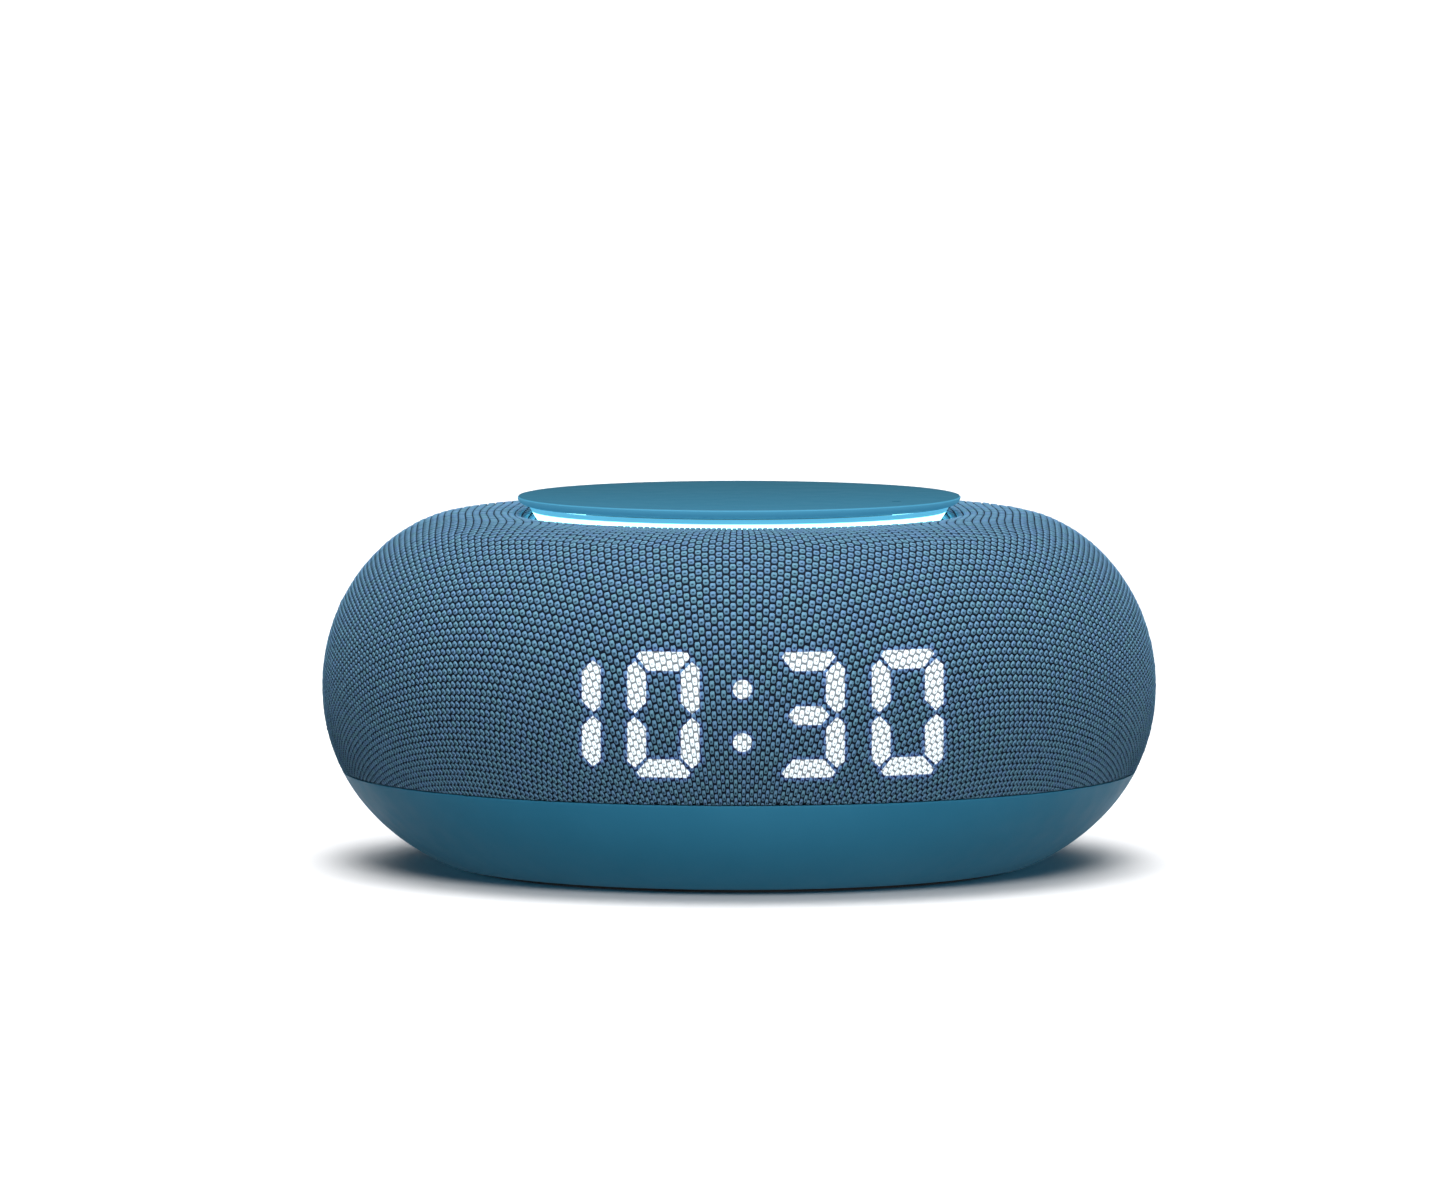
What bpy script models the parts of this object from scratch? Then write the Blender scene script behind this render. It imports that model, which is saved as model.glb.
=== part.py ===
"""Alarm-clock speaker with a wireless charging plate, as an assembly of its pieces.

Metres, +Z up. The origin is the centre of the face that it stands on, the display faces -Y,
and the display's right side is +X.
"""
import math

import bmesh
import bpy
from mathutils import Matrix, Vector

MM = 0.001
GAP = 0.3 * MM                # clearance between pieces that touch or nest
AROUND = 40                   # facets round the big shells, the same on all so that they nest

# Outline of the body: radius and height along three curves, from the equator up over the
# shoulder, from the crest down into the dish, and from the equator down to the floor.
BODY_RADIUS = 98.0 * MM
EQUATOR = 42.3 * MM
CREST_RADIUS = 65.0 * MM
CREST_HEIGHT = 83.0 * MM
DISH_RADIUS = 46.8 * MM
DISH_HEIGHT = 79.8 * MM
BASE_FLAT_RADIUS = 66.3 * MM
SEAM_HEIGHT = 22.6 * MM       # top edge of the base shell
SEAM_GROOVE = 0.5 * MM

SHOULDER = ((BODY_RADIUS, EQUATOR), (BODY_RADIUS, EQUATOR + 24.1 * MM),
            (CREST_RADIUS + 14.6 * MM, CREST_HEIGHT), (CREST_RADIUS, CREST_HEIGHT))
DISH = ((CREST_RADIUS, CREST_HEIGHT), (CREST_RADIUS - 6.5 * MM, CREST_HEIGHT),
        (DISH_RADIUS + 5.2 * MM, CREST_HEIGHT + 1.2 * MM), (DISH_RADIUS, DISH_HEIGHT))
FLANK = ((BODY_RADIUS, EQUATOR), (BODY_RADIUS, EQUATOR - 27.7 * MM),
         (BASE_FLAT_RADIUS + 8.5 * MM, 2.2 * MM), (BASE_FLAT_RADIUS, 0.0))

# Walls
KNIT_THICKNESS = 1.2 * MM
SHELL_OUTSIDE = KNIT_THICKNESS + GAP      # depth of the upper shell's faces under the surface
SHELL_INSIDE = SHELL_OUTSIDE + 2.5 * MM
BASE_WALL = 2.5 * MM
BASE_BOTTOM = 1.0 * MM                    # underside of the base shell; the foot reaches 0
BASE_FLOOR = BASE_BOTTOM + BASE_WALL

# Charging plate and the light ring under it
PLATE_RADIUS = 52.0 * MM
PLATE_TOP = 86.9 * MM
PLATE_UNDERSIDE = 84.6 * MM
PLATE_CEILING = 85.3 * MM                 # top of the pocket under the plate
POCKET_RADIUS = 46.0 * MM
RING_FOOT = DISH_HEIGHT - 1.6 * MM
SHELF_HEIGHT = RING_FOOT - GAP            # shelf of the upper shell that holds the ring
SHELF_RADIUS = 36.9 * MM
CUP_RADIUS = SHELF_RADIUS - 0.9 * MM
CUP_FLOOR = 73.8 * MM
LENS_PLACE = (36.6 * MM, -22.6 * MM)
RING_LEDS = 16

# Display behind the knit, at the front
DIGIT_HEIGHT = 28.9 * MM
DIGIT_WIDTH = 16.7 * MM
DIGIT_STROKE = 4.5 * MM
DIGIT_CENTRES = (-39.5 * MM, -17.1 * MM, 15.7 * MM, 38.2 * MM)
COLON_X = 0.6 * MM
COLON_SPREAD = 6.0 * MM                   # each dot's height above or below the middle
DISPLAY_HEIGHT = 43.4 * MM                # height of the digits' middle
WINDOW_HALF_WIDTH = 53.8 * MM
WINDOW_HALF_HEIGHT = 18.3 * MM
HOUSING_BACK = -77.0 * MM

# Rear panel, at the back
PANEL_MIDDLE = 42.0 * MM
PANEL_SIZE = (68.0 * MM, 24.0 * MM)
PANEL_CORNER = 8.0 * MM
PANEL_FACE = 90.0 * MM                    # floor of its recess
PANEL_BACK = 88.0 * MM
RECESS_SIZE = (63.2 * MM, 19.6 * MM)
BUTTON_ROW = 47.0 * MM
BUTTON_PITCH = 12.0 * MM
BUTTON_RADIUS = 3.3 * MM
BUTTONS = ("power", "volume_down", "volume_up", "alarm", "light")
SOCKET_ROW = 37.0 * MM
USB_X = -11.0 * MM
INLET_X = 11.0 * MM
USB_SIZE = (14.4 * MM, 14.3 * MM, 7.0 * MM)
INLET_NOSE = 4.3 * MM

# Loudspeakers, facing left and right
DRIVER_FRONT = 82.0 * MM                  # distance of the flange's front from the middle
DRIVER_HEIGHT = 44.0 * MM
BAFFLE_FRONT = DRIVER_FRONT - 3.4 * MM
BAFFLE_THICKNESS = 2.6 * MM
BAFFLE_HOLE = 18.9 * MM

# Boards and screws in the base
POST_RADIUS = 50.0 * MM                   # circle of the four base screws
POST_JOINT = 25.0 * MM                    # height where the base's bosses meet the shell's posts
BOARD_THICKNESS = 1.6 * MM
BOARD_SIZE = (96.0 * MM, 58.0 * MM)
SCREW_HOLE = 1.9 * MM                     # radius of the holes that the base screws run in
SMALL_SCREW_HOLE = 1.5 * MM
BOARD_UNDERSIDE = 12.0 * MM
BOARD_SCREWS = [(x * 42.0 * MM, y * 23.0 * MM) for x in (-1, 1) for y in (-1, 1)]
FOOT_RADII = (60.0 * MM, 65.5 * MM)
DOOR_SIZE = (36.0 * MM, 26.0 * MM)
DOOR_CORNER = 5.0 * MM
DOOR_SCREW_X = 13.5 * MM
CELL_X = -4.0 * MM


# ---- Curves ----

def on_curve(curve, t):
    """Point of a cubic curve at t from 0 to 1."""
    a, b, c, d = (Vector(p) for p in curve)
    s = 1.0 - t
    return a * s ** 3 + b * 3 * s * s * t + c * 3 * s * t * t + d * t ** 3


def inset_point(curve, t, depth):
    """Point at that depth under the curve, towards the inside of the body."""
    step = 1e-4
    along = on_curve(curve, min(t + step, 1.0)) - on_curve(curve, max(t - step, 0.0))
    across = Vector((-along.y, along.x)).normalized()
    if curve is FLANK:            # the one curve that runs down from the equator
        across.negate()
    return on_curve(curve, t) + across * depth


def at_height(curve, height):
    """Parameter where a curve that rises or falls all the way reaches a height."""
    low, high = 0.0, 1.0
    rising = curve[-1][1] > curve[0][1]
    for _ in range(40):
        middle = (low + high) / 2
        if (on_curve(curve, middle).y < height) == rising:
            low = middle
        else:
            high = middle
    return low


def upper_line(depth, edge):
    """Outline of the upper body at a depth, from its lower edge up to the dish's rim."""
    seam = at_height(FLANK, edge)
    line = [inset_point(FLANK, seam * k / 2, depth) for k in (2, 1)]
    line += [inset_point(SHOULDER, k / 6, depth) for k in range(7)]
    line += [inset_point(DISH, k / 4, depth) for k in (1, 2, 3, 4)]
    line[0].y = edge
    return line


# ---- Meshes and objects ----

def turned(profile, around=AROUND, place=Matrix()):
    """The solid that a closed outline of radius and height sweeps round the Z axis."""
    bm = bmesh.new()
    verts = [bm.verts.new((r, 0.0, z)) for r, z in profile]
    edges = [bm.edges.new((verts[k - 1], verts[k])) for k in range(len(verts))]
    bmesh.ops.spin(bm, geom=verts + edges, cent=(0, 0, 0), axis=(0, 0, 1),
                   angle=math.tau, steps=around, use_merge=True)
    bmesh.ops.remove_doubles(bm, verts=bm.verts[:], dist=1e-6)
    bmesh.ops.transform(bm, matrix=place, verts=bm.verts[:])
    bmesh.ops.recalc_face_normals(bm, faces=bm.faces[:])
    return bm


def core(depth):
    """The whole upper body as one solid, its surface at a depth."""
    line = [tuple(p) for p in upper_line(depth, SEAM_HEIGHT)]
    return turned([(0, SEAM_HEIGHT)] + line + [(0, line[-1][1])])


def add_block(bm, centre, size, turn=Matrix()):
    """Add a box to a mesh, turned about the Z axis after it is placed."""
    place = turn @ Matrix.Translation(centre) @ Matrix.Diagonal((*size, 1.0))
    bmesh.ops.create_cube(bm, size=1.0, matrix=place)


def boxes(*corners):
    """Boxes, each given by its lowest and highest corner."""
    bm = bmesh.new()
    for low, high in corners:
        low, high = Vector(low), Vector(high)
        add_block(bm, (low + high) / 2, high - low)
    return bm


def rods(ends, radius, around=12):
    """Round bars, each given by its two ends."""
    bm = bmesh.new()
    for start, end in ends:
        start, end = Vector(start), Vector(end)
        along = end - start
        place = Matrix.Translation((start + end) / 2) @ along.to_track_quat("Z", "Y").to_matrix().to_4x4()
        bmesh.ops.create_cone(bm, cap_ends=True, segments=around, radius1=radius, radius2=radius,
                              depth=along.length, matrix=place)
    return bm


def slab(outline, low, high, place=Matrix()):
    """A flat outline of X and Y, extruded from one height to another."""
    bm = bmesh.new()
    face = bm.faces.new([bm.verts.new((x, y, low)) for x, y in outline])
    grown = bmesh.ops.extrude_face_region(bm, geom=[face])
    top = [g for g in grown["geom"] if isinstance(g, bmesh.types.BMVert)]
    bmesh.ops.translate(bm, vec=(0, 0, high - low), verts=top)
    bmesh.ops.transform(bm, matrix=place, verts=bm.verts[:])
    bmesh.ops.recalc_face_normals(bm, faces=bm.faces[:])
    return bm


def rounded(width, height, corner, steps=3):
    """Outline of a rectangle with round corners."""
    points = []
    for quarter, (sx, sy) in enumerate(((1, 1), (-1, 1), (-1, -1), (1, -1))):
        for k in range(steps + 1):
            angle = math.pi / 2 * (quarter + k / steps)
            points.append((sx * (width / 2 - corner) + corner * math.cos(angle),
                           sy * (height / 2 - corner) + corner * math.sin(angle)))
    return points


def facing_back(height):
    """Turns a slab's X, Y and Z into X, up and towards the back, centred at a height."""
    swap = Matrix(((1, 0, 0, 0), (0, 0, 1, 0), (0, 1, 0, 0), (0, 0, 0, 1)))
    return Matrix.Translation((0, 0, height)) @ swap


def finish(name, colour, roughness=0.5, metallic=0.0):
    """A plain finish, made once for each name."""
    material = bpy.data.materials.get(name) or bpy.data.materials.new(name)
    material.use_nodes = True
    shader = material.node_tree.nodes["Principled BSDF"]
    shader.inputs["Base Color"].default_value = (*colour, 1.0)
    shader.inputs["Roughness"].default_value = roughness
    shader.inputs["Metallic"].default_value = metallic
    return material


def piece(name, bm, material, smooth=True):
    """One named object from a mesh, with its finish."""
    mesh = bpy.data.meshes.new(name)
    bm.to_mesh(mesh)
    bm.free()
    if smooth:
        mesh.shade_smooth()
        mesh.set_sharp_from_angle(angle=math.radians(35))
    mesh.materials.append(material)
    made = bpy.data.objects.new(name, mesh)
    bpy.context.scene.collection.objects.link(made)
    return made


def combine(target, operation, bm):
    """Cut, join or intersect a piece with another shape, by a live Boolean."""
    mesh = bpy.data.meshes.new("tool")
    bm.to_mesh(mesh)
    bm.free()
    tool = bpy.data.objects.new("tool_" + target.name, mesh)
    bpy.context.scene.collection.objects.link(tool)
    tool.hide_render = True
    tool.display_type = "WIRE"
    change = target.modifiers.new(operation.lower(), "BOOLEAN")
    change.operation = operation
    change.solver = "EXACT"
    change.object = tool


TEAL = (0.033, 0.146, 0.205)
teal_plastic = finish("teal_plastic", TEAL, 0.38)
blue_knit = finish("blue_knit", (0.045, 0.13, 0.22), 0.9)
black_plastic = finish("black_plastic", (0.02, 0.02, 0.022), 0.5)
milky_plastic = finish("milky_plastic", (0.85, 0.93, 0.95), 0.35)
rubber = finish("rubber", (0.03, 0.035, 0.04), 0.85)
steel = finish("steel", (0.56, 0.57, 0.58), 0.32, 1.0)
copper = finish("copper", (0.72, 0.33, 0.16), 0.3, 1.0)
ferrite = finish("ferrite", (0.05, 0.05, 0.055), 0.6)
circuit_board = finish("circuit_board", (0.02, 0.12, 0.07), 0.45)
paper_cone = finish("paper_cone", (0.03, 0.03, 0.03), 0.8)
foam = finish("foam", (0.04, 0.04, 0.045), 0.95)


# ---- Charging plate, light ring and charger ----

def charging_plate():
    rim = 49.6 * MM
    profile = [(0, PLATE_TOP), (PLATE_RADIUS - 0.5 * MM, PLATE_TOP), (PLATE_RADIUS, PLATE_TOP - 0.4 * MM),
               (rim, PLATE_UNDERSIDE), (POCKET_RADIUS, PLATE_UNDERSIDE), (POCKET_RADIUS, PLATE_CEILING),
               (0, PLATE_CEILING)]
    plate = piece("charging_plate", turned(profile), teal_plastic)
    lens_hole = (*LENS_PLACE, PLATE_CEILING - MM), (*LENS_PLACE, PLATE_TOP + MM)
    combine(plate, "DIFFERENCE", rods([lens_hole], 1.1 * MM, 10))
    lens_ends = (*LENS_PLACE, PLATE_CEILING), (*LENS_PLACE, PLATE_TOP - 0.1 * MM)
    piece("charge_lens", rods([lens_ends], 0.8 * MM, 10), milky_plastic)


def light_ring():
    top = PLATE_UNDERSIDE - GAP
    foot = RING_FOOT
    profile = [(49.3 * MM, top), (46.4 * MM, DISH_HEIGHT), (45.5 * MM, foot), (43.5 * MM, foot),
               (44.4 * MM, DISH_HEIGHT), (47.2 * MM, top)]
    piece("light_ring", turned(profile), milky_plastic)

    low = RING_FOOT
    board = [(43.0 * MM, low + MM), (43.0 * MM, low), (37.3 * MM, low), (37.3 * MM, low + MM)]
    lamps = piece("ring_light_board", turned(board), circuit_board, smooth=False)
    leds = bmesh.new()
    for k in range(RING_LEDS):
        turn = Matrix.Rotation(math.tau * (k + 0.5) / RING_LEDS, 4, "Z")
        add_block(leds, (41.2 * MM, 0, low + 1.3 * MM), (1.4 * MM, 2.0 * MM, 1.4 * MM), turn)
    combine(lamps, "UNION", leds)


def charger():
    flange_top = PLATE_CEILING - GAP
    flange_low = flange_top - 0.7 * MM
    wall = CUP_RADIUS - 1.8 * MM
    flange = POCKET_RADIUS - 0.4 * MM
    rib_high = CUP_FLOOR + 0.9 * MM
    profile = [(flange, flange_top), (flange, flange_low), (CUP_RADIUS, flange_low),
               (CUP_RADIUS, CUP_FLOOR - 1.8 * MM), (0, CUP_FLOOR - 1.8 * MM), (0, CUP_FLOOR),
               (29.0 * MM, CUP_FLOOR), (29.0 * MM, rib_high), (31.0 * MM, rib_high),
               (31.0 * MM, CUP_FLOOR), (wall, CUP_FLOOR), (wall, flange_top)]
    piece("charger_housing", turned(profile), black_plastic)

    board_low = rib_high + GAP
    board_top = board_low + BOARD_THICKNESS
    board = [(32.5 * MM, board_top), (32.5 * MM, board_low), (0, board_low), (0, board_top)]
    electronics = piece("charger_board", turned(board, 24), circuit_board, smooth=False)
    parts = boxes(((-18 * MM, -9 * MM, board_top - MM / 2), (-8 * MM, MM, board_top + 1.5 * MM)),
                  ((2 * MM, 4 * MM, board_top - MM / 2), (9 * MM, 11 * MM, board_top + 1.0 * MM)),
                  ((4 * MM, -14 * MM, board_top - MM / 2), (14 * MM, -6 * MM, board_top + 1.8 * MM)))
    combine(electronics, "UNION", parts)

    skirt_low = board_top + GAP
    deck = skirt_low + 4.0 * MM
    carrier = [(28.0 * MM, deck), (28.0 * MM, skirt_low), (26.4 * MM, skirt_low),
               (26.4 * MM, deck - 1.4 * MM), (3.0 * MM, deck - 1.4 * MM), (3.0 * MM, deck)]
    piece("coil_carrier", turned(carrier, 24), black_plastic)
    sheet_low = deck + GAP
    sheet = [(25.0 * MM, sheet_low + MM), (25.0 * MM, sheet_low), (0, sheet_low), (0, sheet_low + MM)]
    piece("ferrite_disc", turned(sheet, 24), ferrite)
    coil_low = sheet_low + MM + GAP
    winding = [(23.5 * MM, coil_low + 2.0 * MM), (23.5 * MM, coil_low), (9.0 * MM, coil_low),
               (9.0 * MM, coil_low + 2.0 * MM)]
    piece("charging_coil", turned(winding, 24), copper)


# ---- Upper body ----

def window(grow, near, far):
    """Block that cuts the display's window or trims what fills it."""
    wide = WINDOW_HALF_WIDTH + grow
    tall = WINDOW_HALF_HEIGHT + grow
    return boxes(((-wide, near, DISPLAY_HEIGHT - tall), (wide, far, DISPLAY_HEIGHT + tall)))


def rear_opening(grow):
    """Block with the rear panel's outline, through the rear wall."""
    outline = rounded(PANEL_SIZE[0] + 2 * grow, PANEL_SIZE[1] + 2 * grow, PANEL_CORNER + grow)
    return slab(outline, 60 * MM, 110 * MM, facing_back(PANEL_MIDDLE))


def post_places():
    return [(POST_RADIUS * math.cos(a), POST_RADIUS * math.sin(a))
            for a in (math.radians(45 + 90 * k) for k in range(4))]


def uprights(places, low, high):
    """The two ends of an upright bar at each place."""
    return [((x, y, low), (x, y, high)) for x, y in places]


def knit_cover():
    edge = SEAM_HEIGHT + SEAM_GROOVE
    profile = upper_line(0.0, edge) + upper_line(KNIT_THICKNESS, edge)[::-1]
    cover = piece("knit_cover", turned(profile), blue_knit)
    combine(cover, "DIFFERENCE", rear_opening(GAP))


def upper_shell():
    edge = SEAM_HEIGHT + GAP
    outside = upper_line(SHELL_OUTSIDE, edge)
    inside = upper_line(SHELL_INSIDE, edge)[::-1]
    shelf = [(DISH_RADIUS - 0.4 * MM, SHELF_HEIGHT), (SHELF_RADIUS, SHELF_HEIGHT),
             (SHELF_RADIUS, inside[0].y)]
    shell = piece("upper_shell", turned(outside + shelf + inside), black_plastic)

    half = 48.0 * MM
    for side in (-1, 1):
        back, front = sorted((side * (BAFFLE_FRONT - BAFFLE_THICKNESS), side * BAFFLE_FRONT))
        baffle = boxes(((back, -half, DRIVER_HEIGHT - 20.5 * MM), (front, half, DRIVER_HEIGHT + 32 * MM)))
        panel = piece("tool_baffle", baffle, black_plastic)
        panel.hide_render = True
        panel.display_type = "WIRE"
        # The baffle's rim ends in the middle of the shell's wall.
        combine(panel, "INTERSECT", core(SHELL_OUTSIDE + MM))
        hole = (side * 60 * MM, 0, DRIVER_HEIGHT), (side * 90 * MM, 0, DRIVER_HEIGHT)
        combine(panel, "DIFFERENCE", rods([hole], BAFFLE_HOLE, 16))
        join = shell.modifiers.new("baffle", "BOOLEAN")
        join.operation = "UNION"
        join.solver = "EXACT"
        join.object = panel

    combine(shell, "UNION", rods(uprights(post_places(), POST_JOINT + GAP, SHELF_HEIGHT - MM), 4.0 * MM))
    bores = uprights(post_places(), POST_JOINT - 5 * MM, POST_JOINT + 12 * MM)
    combine(shell, "DIFFERENCE", rods(bores, SCREW_HOLE, 8))
    combine(shell, "DIFFERENCE", window(0.0, -110 * MM, -60 * MM))
    combine(shell, "DIFFERENCE", rear_opening(GAP))


def digit_segments(centre_x):
    """The seven bars of a digit, as flat outlines of X and height."""
    half_wide = (DIGIT_WIDTH - DIGIT_STROKE) / 2
    half_tall = (DIGIT_HEIGHT - DIGIT_STROKE) / 2
    joint = 0.4 * MM
    tip = DIGIT_STROKE / 2 - 0.2 * MM

    def bar(x, z, half_long, upright):
        """A bar with a point at each end."""
        body = half_long - tip
        points = [(half_long, 0), (body, tip), (-body, tip), (-half_long, 0), (-body, -tip), (body, -tip)]
        return [(x + v, z + u) if upright else (x + u, z + v) for u, v in points]

    flat = [bar(centre_x, k * half_tall, half_wide - joint, False) for k in (-1, 0, 1)]
    upright = [bar(centre_x + side * half_wide, k * half_tall / 2, half_tall / 2 - joint, True)
               for side in (-1, 1) for k in (-1, 1)]
    return flat + upright


def display():
    def slice_of_body(name, depth, back, material):
        made = piece(name, core(depth), material)
        combine(made, "INTERSECT", window(-GAP, -110 * MM, back))
        return made

    film = slice_of_body("display_diffuser", SHELL_OUTSIDE, -60 * MM, milky_plastic)
    combine(film, "DIFFERENCE", core(SHELL_OUTSIDE + 0.8 * MM))

    housing = slice_of_body("display_housing", SHELL_OUTSIDE + 1.1 * MM, HOUSING_BACK, black_plastic)
    wells = bmesh.new()
    chips = bmesh.new()
    board_front = HOUSING_BACK + GAP
    for centre in DIGIT_CENTRES:
        for outline in digit_segments(centre):
            well = slab(outline, -110 * MM, -60 * MM, facing_back(DISPLAY_HEIGHT))
            mesh = bpy.data.meshes.new("well")
            well.to_mesh(mesh)
            well.free()
            wells.from_mesh(mesh)
            x, z = (sum(values) / len(outline) for values in zip(*outline))
            add_block(chips, (x, board_front, z + DISPLAY_HEIGHT), (1.6 * MM, 1.4 * MM, 1.6 * MM))
    for side in (-1, 1):
        height = DISPLAY_HEIGHT + side * COLON_SPREAD
        spot = Matrix.Translation((COLON_X, -85 * MM, height)) @ Matrix.Rotation(math.pi / 2, 4, "X")
        bmesh.ops.create_cone(wells, cap_ends=True, segments=8, radius1=2.2 * MM, radius2=2.2 * MM,
                              depth=50 * MM, matrix=spot)
    combine(housing, "DIFFERENCE", wells)

    tall = WINDOW_HALF_HEIGHT - 2.8 * MM
    wide = WINDOW_HALF_WIDTH - 4 * MM
    board = boxes(((-wide, board_front, DISPLAY_HEIGHT - tall),
                   (wide, board_front + BOARD_THICKNESS, DISPLAY_HEIGHT + tall)))
    lamps = piece("display_board", board, circuit_board, smooth=False)
    combine(lamps, "UNION", chips)


# ---- Loudspeakers ----

def driver(side):
    """One loudspeaker, its axis along X, facing outwards."""
    facing = Matrix.Rotation(side * math.pi / 2, 4, "Y")
    place = Matrix.Translation((side * DRIVER_FRONT, 0, DRIVER_HEIGHT))
    label = "left" if side < 0 else "right"
    outlines = {
        "frame": ([(22.5, 0), (22.5, -2), (18.6, -2), (14.2, -13), (10, -13), (10, -11.8), (13.4, -11.8),
                   (17.6, -1.2), (18.6, -1.2), (18.6, 0)], black_plastic),
        "magnet": ([(13, -13.3), (13, -22), (0, -22), (0, -12.6), (5.9, -12.6), (5.9, -19.5), (7.5, -19.5),
                    (7.5, -13.3)], steel),
        "cone": ([(0, -6.0), (4.5, -6.6), (7.4, -8.0), (15.6, -0.5), (15.6, -1.1), (7.4, -8.8), (7.0, -9.2),
                  (7.0, -16), (6.4, -16), (6.4, -8.6), (4.3, -7.2), (0, -6.6)], paper_cone),
        "surround": ([(17.1 + r * math.cos(a), -0.6 + r * math.sin(a))
                      for r, turns in ((1.2, (0, 1, 2, 3)), (0.7, (3, 2, 1, 0)))
                      for a in (math.pi * k / 3 for k in turns)], rubber),
        "gasket": ([(22.3, -2.3), (22.3, -3.1), (19.2, -3.1), (19.2, -2.3)], foam),
    }
    for kind, (profile, material) in outlines.items():
        made = piece(f"driver_{kind}_{label}", turned([(r * MM, z * MM) for r, z in profile], 16), material)
        made.matrix_world = place @ facing


# ---- Rear panel, its buttons and sockets ----

def rear_panel():
    panel = piece("rear_panel", core(0.0), teal_plastic)
    outline = rounded(*PANEL_SIZE, PANEL_CORNER)
    combine(panel, "INTERSECT", slab(outline, PANEL_BACK, 110 * MM, facing_back(PANEL_MIDDLE)))
    outline = rounded(*RECESS_SIZE, PANEL_CORNER - 2 * MM)
    combine(panel, "DIFFERENCE", slab(outline, PANEL_FACE, 110 * MM, facing_back(PANEL_MIDDLE)))
    holes = [((x, 80 * MM, BUTTON_ROW), (x, 95 * MM, BUTTON_ROW)) for x in button_places()]
    combine(panel, "DIFFERENCE", rods(holes, BUTTON_RADIUS + GAP, 16))
    inlet_hole = ((INLET_X, 80 * MM, SOCKET_ROW), (INLET_X, 95 * MM, SOCKET_ROW))
    combine(panel, "DIFFERENCE", rods([inlet_hole], INLET_NOSE + GAP, 16))
    half_wide = USB_SIZE[0] / 2 + GAP
    half_tall = USB_SIZE[2] / 2 + GAP
    usb_hole = boxes(((USB_X - half_wide, 80 * MM, SOCKET_ROW - half_tall),
                      (USB_X + half_wide, 95 * MM, SOCKET_ROW + half_tall)))
    combine(panel, "DIFFERENCE", usb_hole)


def button_places():
    return [BUTTON_PITCH * (k - 2) for k in range(len(BUTTONS))]


def buttons():
    """Five push buttons. Each one's origin is on its axis, at the middle of its cap's face."""
    profile = [(0, 0), (2.7, 0), (3.3, -0.6), (3.3, -3.5), (4.2, -3.5), (4.2, -4.5),
               (1.5, -4.5), (1.5, -6.6), (0, -6.6)]
    facing = Matrix.Rotation(-math.pi / 2, 4, "X")
    for name, x in zip(BUTTONS, button_places()):
        made = piece("button_" + name, turned([(r * MM, z * MM) for r, z in profile], 16), teal_plastic)
        made.matrix_world = Matrix.Translation((x, PANEL_FACE + 1.2 * MM, BUTTON_ROW)) @ facing


def control_board():
    back = 80.4 * MM
    board = boxes(((-30 * MM, back, 43.2 * MM), (30 * MM, back + BOARD_THICKNESS, 51.2 * MM)))
    made = piece("control_board", board, circuit_board, smooth=False)
    switches = bmesh.new()
    for x in button_places():
        add_block(switches, (x, back + 1.9 * MM, BUTTON_ROW), (4.4 * MM, 1.8 * MM, 4.4 * MM))
    combine(made, "UNION", switches)


def sockets():
    front = PANEL_FACE
    wide, deep, tall = USB_SIZE
    low = SOCKET_ROW - tall / 2
    shell = boxes(((USB_X - wide / 2, front - deep, low), (USB_X + wide / 2, front, low + tall)))
    port = piece("usb_port", shell, steel, smooth=False)
    mouth = boxes(((USB_X - 6.25 * MM, front - 9 * MM, SOCKET_ROW - 2.4 * MM),
                   (USB_X + 6.25 * MM, front + MM, SOCKET_ROW + 2.4 * MM)))
    combine(port, "DIFFERENCE", mouth)
    tongue = boxes(((USB_X - 5.6 * MM, front - 10 * MM, SOCKET_ROW + 0.2 * MM),
                    (USB_X + 5.6 * MM, front - 0.8 * MM, SOCKET_ROW + 1.9 * MM)))
    combine(port, "UNION", tongue)

    body = boxes(((INLET_X - 4.5 * MM, front - 14 * MM, low),
                  (INLET_X + 4.5 * MM, PANEL_BACK - GAP, low + 8 * MM)))
    inlet = piece("power_inlet", body, black_plastic, smooth=False)
    along = (INLET_X, front - 3 * MM, SOCKET_ROW), (INLET_X, front, SOCKET_ROW)
    combine(inlet, "UNION", rods([along], INLET_NOSE, 16))
    bore = (INLET_X, front - 9.5 * MM, SOCKET_ROW), (INLET_X, front + MM, SOCKET_ROW)
    combine(inlet, "DIFFERENCE", rods([bore], 3.1 * MM, 16))
    pin = (INLET_X, front - 10 * MM, SOCKET_ROW), (INLET_X, front - 1.5 * MM, SOCKET_ROW)
    combine(inlet, "UNION", rods([pin], 0.95 * MM, 8))

    top = low - GAP
    board = boxes(((-22 * MM, 72 * MM, top - BOARD_THICKNESS), (22 * MM, PANEL_BACK - 1.4 * MM, top)))
    piece("port_board", board, circuit_board, smooth=False)


# ---- Base ----

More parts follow.
